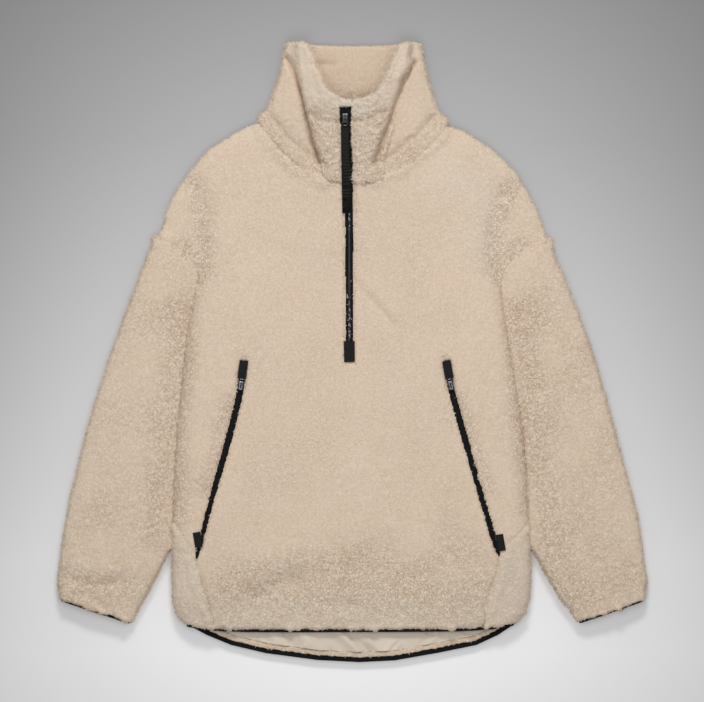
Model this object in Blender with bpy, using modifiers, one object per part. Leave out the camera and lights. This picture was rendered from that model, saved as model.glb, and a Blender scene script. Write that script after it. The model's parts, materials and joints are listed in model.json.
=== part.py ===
"""Sherpa fleece half zip pullover, laid flat on its back.

The garment lies on the floor at z = 0, front up, collar towards +Y, and +X is the viewer's right.
Tables and sizes are in millimetres; meshes are made in metres.
"""

import math

import bmesh
import bpy
from mathutils import Vector
from mathutils.bvhtree import BVHTree

MM = 0.001

# Cloth and seams, in millimetres. The pile counts as part of each wall.
SEAM_GAP = 0.3
BACK_WALL = 9.0
FRONT_WALL = 9.0
SLEEVE_WALL = 10.5
COLLAR_WALL = 10.5
LINING_WALL = 1.0
FRONT_FOOT = BACK_WALL + SEAM_GAP

# Front panel, one row for each cross section from the neck seam to the hem.
# left, right: where the section ends; dip: how far its middle hangs below its ends;
# z_mid, z_side: height of the pile at the middle and inside the side fold;
# crease_left, crease_right: x of the fold that starts below the shoulder; edge: how the section ends.
FRONT_COLUMNS = ("left_x", "left_y", "right_x", "right_y", "dip", "z_mid", "z_side",
                 "crease_left", "crease_right", "edge")
FRONT_ROWS = (
    (-123.0, 324.5, 126.0, 320.5, 79.0, 27.0, 23.0, None, None, "turned"),
    (-157.0, 311.0, 158.0, 309.5, 74.0, 27.0, 23.0, None, None, "turned"),
    (-199.0, 284.0, 196.0, 284.0, 58.5, 26.0, 23.0, None, None, "turned"),
    (-229.5, 252.0, 229.5, 252.0, 42.0, 25.0, 23.5, None, None, "turned"),
    (-250.5, 218.5, 249.0, 218.5, 26.5, 24.0, 25.0, -203.0, 209.0, "turned"),
    (-264.5, 183.5, 266.0, 183.5, 14.0, 23.5, 26.5, -204.0, 199.0, "lifting"),
    (-269.3, 166.5, 271.6, 160.5, 9.8, 23.2, 27.5, -204.4, 197.7, "seam"),
    (-270.0, 160.5, 272.5, 154.5, 8.0, 23.0, 28.0, -204.5, 197.5, "seam"),
    (-251.0, 143.4, 254.0, 144.5, 8.0, 22.5, 29.0, -205.5, 198.0, "seam"),
    (-235.5, 129.5, 231.7, 126.5, 9.0, 22.5, 30.0, -208.0, 201.0, "seam"),
    (-216.5, 112.5, 211.5, 100.0, 5.5, 22.0, 31.0, -210.0, 205.0, "seam"),
    (-219.5, 84.0, 210.0, 73.0, 3.0, 22.0, 32.0, None, None, "turned"),
    (-226.0, 48.0, 214.5, 44.0, 0.0, 22.0, 33.5, None, None, "turned"),
    (-232.0, 12.0, 219.5, 11.0, 0.0, 22.0, 34.0, None, None, "turned"),
    (-236.5, -31.0, 227.0, -31.0, 0.0, 22.0, 34.5, None, None, "turned"),
    (-239.5, -66.0, 232.5, -66.0, 0.0, 22.0, 34.5, None, None, "turned"),
    (-243.5, -101.0, 238.0, -101.0, 0.0, 22.0, 34.0, None, None, "turned"),
    (-246.5, -143.0, 241.0, -143.0, 0.0, 22.0, 34.0, None, None, "turned"),
    (-248.5, -186.0, 243.5, -186.0, 0.0, 22.0, 33.5, None, None, "turned"),
    (-250.0, -227.0, 245.5, -227.0, 0.0, 22.0, 33.0, None, None, "turned"),
    (-250.5, -269.0, 248.0, -269.0, 0.0, 22.0, 32.0, None, None, "turned"),
    (-250.5, -311.0, 249.0, -308.0, 1.5, 22.5, 30.5, None, None, "turned"),
    (-249.0, -346.0, 246.5, -343.0, 4.0, 23.5, 28.5, None, None, "turned"),
    (-245.0, -363.0, 242.0, -362.5, 7.0, 23.0, 26.5, None, None, "turned"),
    (-236.0, -377.0, 231.0, -375.5, 9.5, 21.5, 24.0, None, None, "turned"),
)
NECK_DIP_POWER = 2.3
HEM_DIP_POWER = 6.0
DIP_POWER_CHANGE_ROW = 19
MIDDLE_COLUMNS = 13

# How the front rises towards its side fold, as shares of the half width.
CROWN_START = 0.3
CROWN_SPAN = 0.5

# The side of a turned section, from inside out: distance in from the silhouette, share of the height.
TURNED_SIDE = ((34.0, 1.0), (22.0, 0.99), (12.0, 0.92), (5.0, 0.75), (1.2, 0.55), (0.0, 0.36),
               (0.6, 0.16), (1.6, 0.0))

# The side of a section with a fold below the shoulder: how it nears the fold, then its flap.
FOLD_APPROACH = ((27.0, 0.0), (13.0, -0.6), (4.0, -2.4))
FLAP_HEIGHT = 22.5
FLAP_LEAST = 7.0
SEAM_FLAP = ((1.0, 0.8), (0.7, 0.0), (0.4, 0.0), (0.2, 0.0), (0.0, 0.0))
LIFTED_FOOT = 5.8

# Back panel below the armholes, and its curved hem, left to right, outer edge of the binding.
BACK_INSET = 0.6
BACK_NECK_RISE = 10.0
BACK_NECK_STEPS = 8
NECK_INSET = 2.0
NECK_CORNER_DROP = 8.0
BACK_BEVEL = 2.0
BACK_HEM_BINDING = 7.0
BACK_HEM_BINDING_HEIGHT = 10.0
BACK_HEM = ((-235.0, -377.5), (-203.0, -394.5), (-169.0, -408.5), (-120.0, -420.0), (-48.0, -429.5),
            (10.0, -432.5), (60.0, -430.0), (120.0, -419.5), (174.0, -408.5), (204.0, -394.5),
            (230.0, -377.5))

# Sleeves, one row for each ring from the armhole seam to the cuff; bow: how far the ring bends up.
SLEEVE_COLUMNS = ("outer_x", "outer_y", "inner_x", "inner_y", "height", "bow")
SLEEVE_LEFT = (
    (-271.1, 158.7, -216.9, 112.0, 23.5, 0.0),
    (-285.5, 136.0, -222.5, 84.0, 23.5, 0.0),
    (-301.0, 95.0, -230.0, 44.0, 23.5, 0.0),
    (-316.5, 53.0, -236.0, 4.0, 23.5, 0.0),
    (-331.5, 11.0, -240.5, -35.0, 24.0, 0.0),
    (-346.0, -31.0, -244.0, -73.0, 24.0, 0.0),
    (-359.5, -73.0, -248.0, -110.5, 24.0, 0.0),
    (-371.5, -115.0, -250.5, -152.5, 23.5, 0.0),
    (-382.0, -157.0, -252.5, -194.5, 23.5, 0.0),
    (-392.5, -199.0, -254.0, -234.0, 23.5, 0.0),
    (-400.5, -241.0, -254.5, -270.0, 23.0, 0.0),
    (-407.0, -287.0, -265.0, -293.0, 23.0, 0.0),
    (-411.5, -320.5, -285.5, -334.5, 23.0, 0.0),
    (-407.0, -342.5, -308.0, -375.0, 22.5, 0.0),
)
SLEEVE_RIGHT = (
    (272.9, 154.0, 211.9, 99.5, 23.5, 5.9),
    (283.5, 131.5, 213.0, 72.0, 23.5, 3.5),
    (299.5, 95.0, 219.0, 31.0, 23.5, 1.5),
    (316.5, 53.0, 224.5, -5.5, 23.5, 0.0),
    (332.0, 11.0, 230.5, -42.0, 24.0, 0.0),
    (345.0, -31.0, 236.5, -77.0, 24.0, 0.0),
    (357.0, -73.0, 241.0, -113.5, 24.0, 0.0),
    (368.0, -115.0, 244.5, -154.0, 23.5, 0.0),
    (379.5, -157.0, 247.0, -196.0, 23.5, 0.0),
    (391.0, -199.0, 249.5, -234.0, 23.5, 0.0),
    (400.5, -241.0, 252.5, -271.5, 23.0, 0.0),
    (406.5, -287.0, 265.0, -298.0, 23.0, 0.0),
    (411.5, -318.0, 286.0, -334.5, 23.0, 0.0),
    (407.5, -343.0, 315.0, -375.0, 22.5, 0.0),
)
SLEEVE_CROWN = 1.2
SLEEVE_EDGE_STEPS = 4
SLEEVE_TOP_STEPS = 6
SLEEVE_FLOOR_STEPS = 3
CUFF_BINDING_LENGTH = 4.0
CUFF_BINDING_WALL = 4.0
CUFF_BINDING_INSET = 2.0
CUFF_BINDING_DROP = 2.0

# Collar. Each column runs from the neck seam to the top edge of the front.
# base, top: share of the half width at the seam and at the top edge; drop: how far down the U it ends;
# z_base, z_top: height of the pile there.
COLLAR_COLUMNS = ("base", "top", "drop", "z_base", "z_top")
COLLAR_FRONT = (
    (0.97, 0.985, 0.0, 21.0, 24.0),
    (0.84, 0.97, 0.0, 25.0, 27.0),
    (0.66, 0.945, 0.0, 27.0, 28.0),
    (0.47, 0.915, 0.0, 26.5, 29.0),
    (0.32, 0.875, 0.0, 26.0, 31.0),
    (0.27, 0.82, 0.01, 30.0, 40.0),
    (0.225, 0.72, 0.05, 31.5, 45.0),
    (0.18, 0.60, 0.34, 31.5, 47.0),
    (0.14, 0.50, 0.66, 31.0, 48.0),
    (0.10, 0.37, 0.84, 30.0, 48.0),
    (0.05, 0.19, 0.95, 29.0, 47.5),
    (0.0, 0.0, 1.0, 28.5, 47.0),
)
NECK_LEFT = (-123.0, 325.2)
NECK_RIGHT = (126.0, 321.2)
NECK_FRONT_DIP = 79.0
NECK_BACK_RISE = 10.0
TOP_LEFT = (-91.0, 431.0)
TOP_RIGHT = (95.0, 431.0)
TOP_FRONT_DROP = 81.0
TOP_BACK_DROP = 4.0
COLLAR_STEPS = 8
COLLAR_BACK_STEPS = 8
COLLAR_BACK_INSET = 9.0
COLLAR_WAIST = 4.0

# The collar's side from the front down to the floor: distance in, height.
COLLAR_SIDE = ((0.2, 17.0), (-0.6, 10.0), (0.6, 4.0), (3.5, 0.6))

# Zips: plan lines down the middle of each tape, widths and depths.
HALF_ZIP_LINE = ((-9.6, 343.0), (-8.8, 318.0), (-6.0, 288.0), (-4.3, 260.0), (-3.8, 195.0), (-3.6, -12.0))
POCKET_LEFT_LINE = ((-150.5, -10.0), (-157.0, -60.0), (-172.0, -120.0), (-192.0, -190.0), (-218.0, -290.0))
POCKET_RIGHT_LINE = ((131.5, -10.0), (139.5, -55.0), (155.0, -110.0), (176.0, -185.0), (206.3, -287.0))
HALF_ZIP_WIDTH = 12.0
POCKET_ZIP_WIDTH = 10.0

# A tape is wider by its flare at the top and narrower by its taper at the foot.
HALF_ZIP_ENDS = (6.0, 0.0)
POCKET_ZIP_ENDS = (0.0, 7.0)
STRAIGHT_ENDS = (0.0, 0.0)
FLARE_SHARE = 0.14
TAPER_SHARE = 0.08
GROOVE_DEPTH = 5.0
TAPE_DEPTH = 2.6
TAPE_WALL = 1.8
ZIP_STATIONS = 22
POCKET_STATIONS = 16

# Slider and pull.
SLIDER_SIZE = (8.5, 13.0, 4.2)
SLIDER_EDGE = 0.9
SLIDER_TAPER = 0.72
BRIDGE_RADIUS = 3.2
BRIDGE_WIRE = 0.8
LOOP_WIRE = 0.75
LOOP_WIDTH = 6.6
LOOP_CORNER = 1.2
MAIN_LOOP_LENGTH = 10.0
POCKET_LOOP_LENGTH = 9.0
HINGE_LIFT = 1.45
SLIDER_DROP = 16.0
POCKET_SLIDER_DROP = 36.0
WEBBING_WIDTH = 11.0
WEBBING_WALL = 2.2
WEBBING_LINE = ((-10.0, 316.0), (-9.5, 270.0), (-8.6, 230.0), (-8.0, 195.0))
WEBBING_LIFT = 1.4
WEBBING_STATIONS = 18
TAB_STATIONS = 4
POCKET_TAB_WIDTH = 12.0
POCKET_TAB_LENGTH = 25.0

# End tabs: the one under the half zip and the ones at the foot of each pocket zip.
END_TAB_LINE = ((-3.9, 16.5), (-3.4, -12.5))
END_TAB_WIDTH = 15.0
END_TAB_WALL = 1.6
END_TAB_LIFT = 0.4
POCKET_END_LEFT = ((-217.0, -250.0), (-213.5, -271.0))
POCKET_END_RIGHT = ((205.5, -253.0), (209.5, -276.0))
POCKET_END_WIDTH = 10.5

# Side gores: the seam line of each, from the side fold to the hem.
GORE_LEFT = ((-262.0, -236.0), (-245.0, -241.0), (-224.0, -278.5), (-221.0, -294.0), (-205.5, -350.0),
             (-196.0, -377.0), (-192.0, -400.0))
GORE_RIGHT = ((262.0, -233.0), (246.5, -239.5), (214.5, -272.0), (208.5, -289.0), (204.5, -309.5),
              (187.5, -358.0), (184.0, -400.0))
GORE_FAR = 300.0
GORE_CUT_HEIGHT = 60.0

# Tucked sides under the front: distance in from the side, share of the room under the front.
TUCK_SECTION = ((15.0, 0.0), (15.0, 0.55), (24.0, 1.0), (44.0, 1.0), (66.0, 1.0), (78.0, 0.45), (80.0, 0.0))
TUCK_FIRST_ROW = 12
TUCK_LAST_ROW = 21
TUCK_CLEARANCE = 1.2
TUCK_LEAST = 1.5

# Front hem binding, and what shows of the inside of the back.
FRONT_HEM_BINDING = 4.0
FRONT_HEM_BINDING_HEIGHT = 6.0
FRONT_HEM_BINDING_LIFT = 4.0
FRONT_BINDING_BEVEL = 1.2
FRONT_BINDING_TRIM = 4
LINING_TOP_Y = -300.0
FLEECE_STRIP = 6.5
FLEECE_STRIP_WALL = 2.4

# Finishes: colour, roughness, metallic.
FINISHES = {
    "fleece": ((0.66, 0.52, 0.39), 1.0, 0.0),
    "lining": ((0.62, 0.52, 0.41), 0.55, 0.0),
    "black_tape": ((0.012, 0.012, 0.013), 0.8, 0.0),
    "gunmetal": ((0.13, 0.13, 0.14), 0.35, 1.0),
}


def clear_scene():
    """Start from an empty scene."""
    for thing in list(bpy.data.objects):
        bpy.data.objects.remove(thing, do_unlink=True)


def make_collection(name):
    """A collection linked to the scene."""
    group = bpy.data.collections.new(name)
    bpy.context.scene.collection.children.link(group)
    return group


def make_finish(name):
    """A Principled material from the table of finishes."""
    colour, roughness, metallic = FINISHES[name]
    material = bpy.data.materials.new(name)
    material.use_nodes = True
    shader = material.node_tree.nodes["Principled BSDF"]
    shader.inputs["Base Color"].default_value = (*colour, 1.0)
    shader.inputs["Roughness"].default_value = roughness
    shader.inputs["Metallic"].default_value = metallic
    material.diffuse_color = (*colour, 1.0)
    return material


def rows_as_records(table, columns):
    """Give each row of a table its column names."""
    return [dict(zip(columns, row)) for row in table]


def lerp(a, b, share):
    """Linear blend of two numbers."""
    return a + (b - a) * share


def smooth(share):
    """Smooth step from 0 to 1."""
    share = min(max(share, 0.0), 1.0)
    return share * share * (3.0 - 2.0 * share)


def new_object(name, mesh, group, finish=None):
    """Link a mesh as a named object and give it its finish."""
    thing = bpy.data.objects.new(name, mesh)
    group.objects.link(thing)
    if finish is not None:
        mesh.materials.append(finish)
    return thing


def grid_mesh(name, rows, closed):
    """A mesh of quads through rows of points in millimetres; closed joins each row's ends."""
    shape = bmesh.new()
    lines = [[shape.verts.new(Vector(point) * MM) for point in row] for row in rows]
    for upper, lower in zip(lines, lines[1:]):
        count = len(upper)
        for index in range(count if closed else count - 1):
            after = (index + 1) % count
            shape.faces.new((upper[index], lower[index], lower[after], upper[after]))
    mesh = bpy.data.meshes.new(name)
    shape.to_mesh(mesh)
    shape.free()
    return mesh


def add_wall(thing, wall):
    """Give an outer surface its thickness, inwards."""
    solid = thing.modifiers.new("wall", "SOLIDIFY")
    solid.thickness = wall * MM
    solid.offset = -1.0
    solid.use_rim = True


def add_boolean(thing, cutter, operation):
    """Cut or keep what a cutter covers."""
    cut = thing.modifiers.new(cutter.name, "BOOLEAN")
    cut.operation = operation
    cut.object = cutter
    cut.solver = "EXACT"


def as_cutter(thing):
    """Hide a cutter from the render and show it as wire."""
    thing.hide_render = True
    thing.display_type = "WIRE"
    return thing


def slab(name, outline, low, high, group, finish=None, bevel=0.0):
    """A flat piece: an outline in plan, given its height between two levels."""
    shape = bmesh.new()
    corners = [shape.verts.new((x * MM, y * MM, high * MM)) for x, y in outline]
    face = shape.faces.new(corners)
    face.normal_update()
    if face.normal.z < 0:
        face.normal_flip()
    mesh = bpy.data.meshes.new(name)
    shape.to_mesh(mesh)
    shape.free()
    thing = new_object(name, mesh, group, finish)
    add_wall(thing, high - low)
    if bevel > 0.0:
        edge = thing.modifiers.new("edge", "BEVEL")
        edge.width = bevel * MM
        edge.segments = 2
        edge.limit_method = "ANGLE"
        edge.angle_limit = math.radians(60.0)
    return thing


def front_rows():
    """The front's table as records, with the index of each row."""
    records = rows_as_records(FRONT_ROWS, FRONT_COLUMNS)
    for index, record in enumerate(records):
        record["power"] = NECK_DIP_POWER if index < DIP_POWER_CHANGE_ROW else HEM_DIP_POWER
    return records


def plan_point(record, inward, side):
    """A point on a front section, a distance in from its left (-1) or right (1) end."""
    width = record["right_x"] - record["left_x"]
    share = inward / width if side < 0 else 1.0 - inward / width
    x = lerp(record["left_x"], record["right_x"], share)
    y = lerp(record["left_y"], record["right_y"], share)
    reach = abs(2.0 * share - 1.0)
    y -= record["dip"] * (1.0 - reach ** record["power"])
    return x, y


def crown(record, inward):
    """Height of the front's pile at a distance in from its side."""
    half = 0.5 * (record["right_x"] - record["left_x"])
    reach = 1.0 - inward / half
    return lerp(record["z_mid"], record["z_side"], smooth((reach - CROWN_START) / CROWN_SPAN))


def side_path(record, side):
    """The outer surface near one side as (distance in, height), from inside out."""
    crease = record["crease_left"] if side < 0 else record["crease_right"]
    if crease is None:
        inner_height = crown(record, TURNED_SIDE[0][0])
        rise = inner_height - FRONT_FOOT
        return [(inward, FRONT_FOOT + rise * share) for inward, share in TURNED_SIDE]
    end = record["left_x"] if side < 0 else record["right_x"]
    flap = max(abs(crease - end), FLAP_LEAST)
    path = [(flap + inward, record["z_side"] + level) for inward, level in FOLD_APPROACH]
    if record["edge"] == "seam":
        return path + [(flap * share, FLAP_HEIGHT + level) for share, level in SEAM_FLAP]
    rise = FLAP_HEIGHT - FRONT_FOOT
    foot = FRONT_FOOT + (LIFTED_FOOT if record["edge"] == "lifting" else 0.0)
    path += [(flap - 1.0, FLAP_HEIGHT + 0.6), (0.45 * flap, FLAP_HEIGHT), (6.0, FRONT_FOOT + 0.85 * rise),
             (0.3, FRONT_FOOT + 0.5 * rise), (0.5, foot)]
    return path


def front_section(record):
    """Every point of one front section, left to right."""
    left = side_path(record, -1)
    right = side_path(record, 1)
    points = []
    for inward, height in reversed(left):
        points.append((*plan_point(record, inward, -1), height))
    width = record["right_x"] - record["left_x"]
    start = left[0][0]
    end = width - right[0][0]
    for column in range(1, MIDDLE_COLUMNS + 1):
        inward = lerp(start, end, column / (MIDDLE_COLUMNS + 1))
        near = min(inward, width - inward)
        points.append((*plan_point(record, inward, -1), crown(record, near)))
    for inward, height in right:
        points.append((*plan_point(record, inward, 1), height))
    return points


def front_mesh(name):
    """The outer surface of the whole front, gores included."""
    return grid_mesh(name, [front_section(record) for record in front_rows()], closed=False)


def gore_outline(seam, side, shift):
    """A plan outline that takes in one lower corner of the front, up to its seam."""
    far = side * GORE_FAR
    line = [(x + side * shift, y) for x, y in seam]
    return line + [(far, line[-1][1]), (far, line[0][1])]


def ring_section(outer, inner, height, bow, side):
    """A laid tube's outer ring between two plan points: flat below, round at the edges."""
    outer = Vector((*outer, 0.0))
    inner = Vector((*inner, 0.0))
    along = (inner - outer).normalized()
    width = (inner - outer).length
    upward = Vector((-along.y, along.x, 0.0)) * -side
    radius = 0.5 * height
    ring = []
    for step in range(SLEEVE_EDGE_STEPS + 1):
        angle = math.radians(90.0 + 180.0 * step / SLEEVE_EDGE_STEPS)
        ring.append((radius + radius * math.cos(angle), radius + radius * math.sin(angle)))
    for step in range(1, SLEEVE_FLOOR_STEPS):
        ring.append((lerp(radius, width - radius, step / SLEEVE_FLOOR_STEPS), 0.0))
    for step in range(SLEEVE_EDGE_STEPS + 1):
        angle = math.radians(-90.0 + 180.0 * step / SLEEVE_EDGE_STEPS)
        ring.append((width - radius + radius * math.cos(angle), radius + radius * math.sin(angle)))
    for step in range(1, SLEEVE_TOP_STEPS):
        share = step / SLEEVE_TOP_STEPS
        lift = SLEEVE_CROWN * math.sin(math.pi * share)
        ring.append((lerp(width - radius, radius, share), height + lift))
    points = []
    for reach, level in ring:
        share = reach / width
        bend = upward * (4.0 * bow * share * (1.0 - share))
        points.append(outer + along * reach + bend + Vector((0.0, 0.0, level)))
    return points if side > 0 else list(reversed(points))


def build_sleeve(name, table, side, group, finish):
    """A sleeve: rings from the armhole seam to the cuff, given its wall."""
    rings = []
    for row in rows_as_records(table, SLEEVE_COLUMNS):
        outer = (row["outer_x"], row["outer_y"])
        inner = (row["inner_x"], row["inner_y"])
        rings.append(ring_section(outer, inner, row["height"], row["bow"], side))
    thing = new_object(name, grid_mesh(name, rings, closed=True), group, finish)
    add_wall(thing, SLEEVE_WALL)
    return thing


def build_cuff_binding(name, table, side, group, finish):
    """A ring of binding round a cuff's open end."""
    last = dict(zip(SLEEVE_COLUMNS, table[-1]))
    before = dict(zip(SLEEVE_COLUMNS, table[-2]))
    outer = Vector((last["outer_x"], last["outer_y"]))
    inner = Vector((last["inner_x"], last["inner_y"]))
    above = Vector((before["outer_x"] + before["inner_x"], before["outer_y"] + before["inner_y"]))
    down = (outer + inner - above).normalized()
    across = (inner - outer).normalized()
    start = outer + across * CUFF_BINDING_INSET
    end = inner - across * CUFF_BINDING_INSET
    height = last["height"] - CUFF_BINDING_DROP
    rings = []
    for reach in (SEAM_GAP, CUFF_BINDING_LENGTH):
        rings.append(ring_section(start + down * reach, end + down * reach, height, 0.0, side))
    thing = new_object(name, grid_mesh(name, rings, closed=True), group, finish)
    add_wall(thing, CUFF_BINDING_WALL)
    return thing


def collar_ring(share):
    """The collar's outer surface at one height between the neck seam and the top edge."""
    left = [lerp(NECK_LEFT[axis], TOP_LEFT[axis], share) for axis in (0, 1)]
    right = [lerp(NECK_RIGHT[axis], TOP_RIGHT[axis], share) for axis in (0, 1)]
    waist = COLLAR_WAIST * math.sin(math.pi * share)
    left[0] += waist
    right[0] -= waist
    ring = []
    columns = rows_as_records(COLLAR_FRONT, COLLAR_COLUMNS)
    for side, ends in ((-1, columns), (1, list(reversed(columns))[1:])):
        for column in ends:
            ring.append(collar_front_point(column, side, share, left, right))
    for inward, level in COLLAR_SIDE:
        ring.append((right[0] - inward, right[1], level))
    for step in range(COLLAR_BACK_STEPS + 1):
        across = step / COLLAR_BACK_STEPS
        x = lerp(right[0] - COLLAR_BACK_INSET, left[0] + COLLAR_BACK_INSET, across)
        sag = 1.0 - abs(2.0 * across - 1.0) ** 2
        y = lerp(right[1], left[1], across) + lerp(NECK_BACK_RISE, -TOP_BACK_DROP, share) * sag
        ring.append((x, y, 0.0))
    for inward, level in reversed(COLLAR_SIDE):
        ring.append((left[0] + inward, left[1], level))
    return list(reversed(ring))


def collar_front_point(column, side, share, left, right):
    """One point of the collar's front at a share of the way up its column."""
    middle_x = 0.5 * (left[0] + right[0])
    half = 0.5 * (right[0] - left[0])
    reach = lerp(column["base"], column["top"], share)
    x = middle_x + side * half * reach
    base_across = 0.5 + 0.5 * side * column["base"]
    base_y = lerp(NECK_LEFT[1], NECK_RIGHT[1], base_across)
    base_y -= NECK_FRONT_DIP * (1.0 - column["base"] ** NECK_DIP_POWER)
    top_across = 0.5 + 0.5 * side * column["top"]
    end_y = lerp(TOP_LEFT[1], TOP_RIGHT[1], top_across) - TOP_FRONT_DROP * column["drop"]
    z = lerp(column["z_base"], column["z_top"], share)
    return x, lerp(base_y, end_y, share), z


def collar_mesh(name):
    """The outer surface of the collar, a ring flattened on the floor."""
    rings = [collar_ring(step / COLLAR_STEPS) for step in range(COLLAR_STEPS + 1)]
    return grid_mesh(name, rings, closed=True)


class Surface:
    """Heights of the laid fleece, read straight down from above."""

    def __init__(self, things):
        bpy.context.view_layer.update()
        graph = bpy.context.evaluated_depsgraph_get()
        self.trees = [BVHTree.FromObject(thing, graph) for thing in things]

    def height(self, x, y):
        """The highest fleece under a plan point, in millimetres."""
        start = Vector((x * MM, y * MM, 1.0))
        hits = [tree.ray_cast(start, Vector((0.0, 0.0, -1.0)))[0] for tree in self.trees]
        levels = [hit.z / MM for hit in hits if hit is not None]
        return max(levels) if levels else 0.0


def resample(line, count):
    """Evenly spaced points along a plan line."""
    points = [Vector(point) for point in line]
    lengths = [0.0]
    for a, b in zip(points, points[1:]):
        lengths.append(lengths[-1] + (b - a).length)
    result = []
    for step in range(count):
        target = lengths[-1] * step / (count - 1)
        index = 0
        while index < len(points) - 2 and lengths[index + 1] < target:
            index += 1
        share = (target - lengths[index]) / (lengths[index + 1] - lengths[index])
        result.append(points[index].lerp(points[index + 1], share))
    return result


def ribbon_rows(line, count, width, ends, surface, lift):
    """Rows of two points each side of a plan line; what lies on the pile clears it over its whole width."""
    flare, taper = ends
    stations = resample(line, count)
    rows = []
    for index, point in enumerate(stations):
        before = stations[max(index - 1, 0)]
        after = stations[min(index + 1, count - 1)]
        heading = (after - before).normalized()
        share = index / (count - 1)
        reach = width + flare * smooth(1.0 - share / FLARE_SHARE)
        reach -= taper * smooth((share - 1.0) / TAPER_SHARE + 1.0)
        across = Vector((-heading.y, heading.x)) * (0.5 * reach)
        left = point - across
        right = point + across
        spots = (left, point, right) if lift > 0.0 else (point,)
        level = max(surface.height(spot.x, spot.y) for spot in spots) + lift
        rows.append([(left.x, left.y, level), (right.x, right.y, level)])
    return rows


def ribbon(name, line, count, width, surface, lift, wall, group, finish, ends=STRAIGHT_ENDS):
    """A flat tape that lies on the fleece; lift is the height of its upper face over the pile."""
    rows = ribbon_rows(line, count, width, ends, surface, lift)
    thing = new_object(name, grid_mesh(name, rows, closed=False), group, finish)
    add_wall(thing, wall)
    return thing


def groove(name, line, count, width, ends, surface, group):
    """A cutter that opens a channel for a tape in the pile."""
    stretched = extend_line(line, SEAM_GAP)
    rows = ribbon_rows(stretched, count, width + 2.0 * SEAM_GAP, ends, surface, -GROOVE_DEPTH)
    rows = [[(x, y, level + 2.0 * GROOVE_DEPTH) for x, y, level in row] for row in rows]
    thing = new_object(name, grid_mesh(name, rows, closed=False), group)
    add_wall(thing, 2.0 * GROOVE_DEPTH)
    return as_cutter(thing)


def extend_line(line, reach):
    """A plan line made longer at both ends."""
    points = [Vector(point) for point in line]
    points[0] = points[0] + (points[0] - points[1]).normalized() * reach
    points[-1] = points[-1] + (points[-1] - points[-2]).normalized() * reach
    return points


def metal_loop(name, width, length, wire, group, finish):
    """A rectangular wire loop, its hinge bar on the local X axis and its reach along local -Y."""
    curve = bpy.data.curves.new(name, "CURVE")
    curve.dimensions = "3D"
    curve.bevel_depth = wire * MM
    curve.bevel_resolution = 2
    spline = curve.splines.new("POLY")
    half = 0.5 * width
    inner = half - LOOP_CORNER
    foot = LOOP_CORNER - length
    outline = ((-inner, 0.0), (inner, 0.0), (half, -LOOP_CORNER), (half, foot),
               (inner, -length), (-inner, -length), (-half, foot), (-half, -LOOP_CORNER))
    spline.points.add(len(outline) - 1)
    for point, (x, y) in zip(spline.points, outline):
        point.co = (x * MM, y * MM, 0.0, 1.0)
    spline.use_cyclic_u = True
    thing = bpy.data.objects.new(name, curve)
    group.objects.link(thing)
    curve.materials.append(finish)
    return thing


def slider_body(name, group, cutters, finish):
    """A slider: a bevelled body with a round bridge over the pull's bar."""
    bpy.ops.mesh.primitive_cube_add(size=1.0)
    body = bpy.context.object
    body.name = name
    body.data.name = name
    for vertex in body.data.vertices:
        vertex.co = Vector((vertex.co.x * SLIDER_SIZE[0], vertex.co.y * SLIDER_SIZE[1],
                            (vertex.co.z + 0.5) * SLIDER_SIZE[2])) * MM
    for vertex in body.data.vertices:
        if vertex.co.y < 0.0:
            vertex.co.x *= SLIDER_TAPER
    for collection in list(body.users_collection):
        collection.objects.unlink(body)
    group.objects.link(body)
    edge = body.modifiers.new("edge", "BEVEL")
    edge.width = SLIDER_EDGE * MM
    edge.segments = 2
    bridge = bpy.data.meshes.new(name + "_bridge")
    build_torus(bridge, BRIDGE_RADIUS, BRIDGE_WIRE)
    arch = as_cutter(new_object(name + "_bridge", bridge, cutters))
    add_boolean(body, arch, "UNION")
    body.data.materials.append(finish)
    return body, arch


def build_torus(mesh, major, minor):
    """A torus in the YZ plane, centred a little over the slider's upper face."""
    bpy.ops.mesh.primitive_torus_add(major_radius=major * MM, minor_radius=minor * MM,
                                     major_segments=20, minor_segments=8)
    source = bpy.context.object
    shape = bmesh.new()
    shape.from_mesh(source.data)
    for vertex in shape.verts:
        x, y, z = vertex.co
        vertex.co = (z, y, x + SLIDER_SIZE[2] * MM)
    bmesh.ops.recalc_face_normals(shape, faces=shape.faces)
    shape.to_mesh(mesh)
    shape.free()
    bpy.data.objects.remove(source, do_unlink=True)


def place(thing, spot, heading):
    """Put a piece at a spot in millimetres, with its local -Y along a plan heading."""
    thing.location = Vector(spot) * MM
    thing.rotation_euler = (0.0, 0.0, math.atan2(heading.x, -heading.y))


def fit_slider(prefix, spot, heading, loop_length, pull_heading, surface, groups, finishes):
    """A slider on its tape with the wire loop of its pull, hinged under the bridge."""
    group, cutters = groups
    levels = [surface.height(*(spot + heading * reach)) for reach in (-0.5 * SLIDER_SIZE[1], 0.0)]
    base = max(levels) - TAPE_DEPTH + SEAM_GAP
    body, arch = slider_body(prefix + "_slider", group, cutters, finishes["gunmetal"])
    place(body, (spot.x, spot.y, base), heading)
    place(arch, (spot.x, spot.y, base), heading)
    loop = metal_loop(prefix + "_pull_loop", LOOP_WIDTH, loop_length, LOOP_WIRE, group, finishes["gunmetal"])
    place(loop, (spot.x, spot.y, base + SLIDER_SIZE[2] + HINGE_LIFT), pull_heading)
    return base + SLIDER_SIZE[2] + HINGE_LIFT


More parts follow.
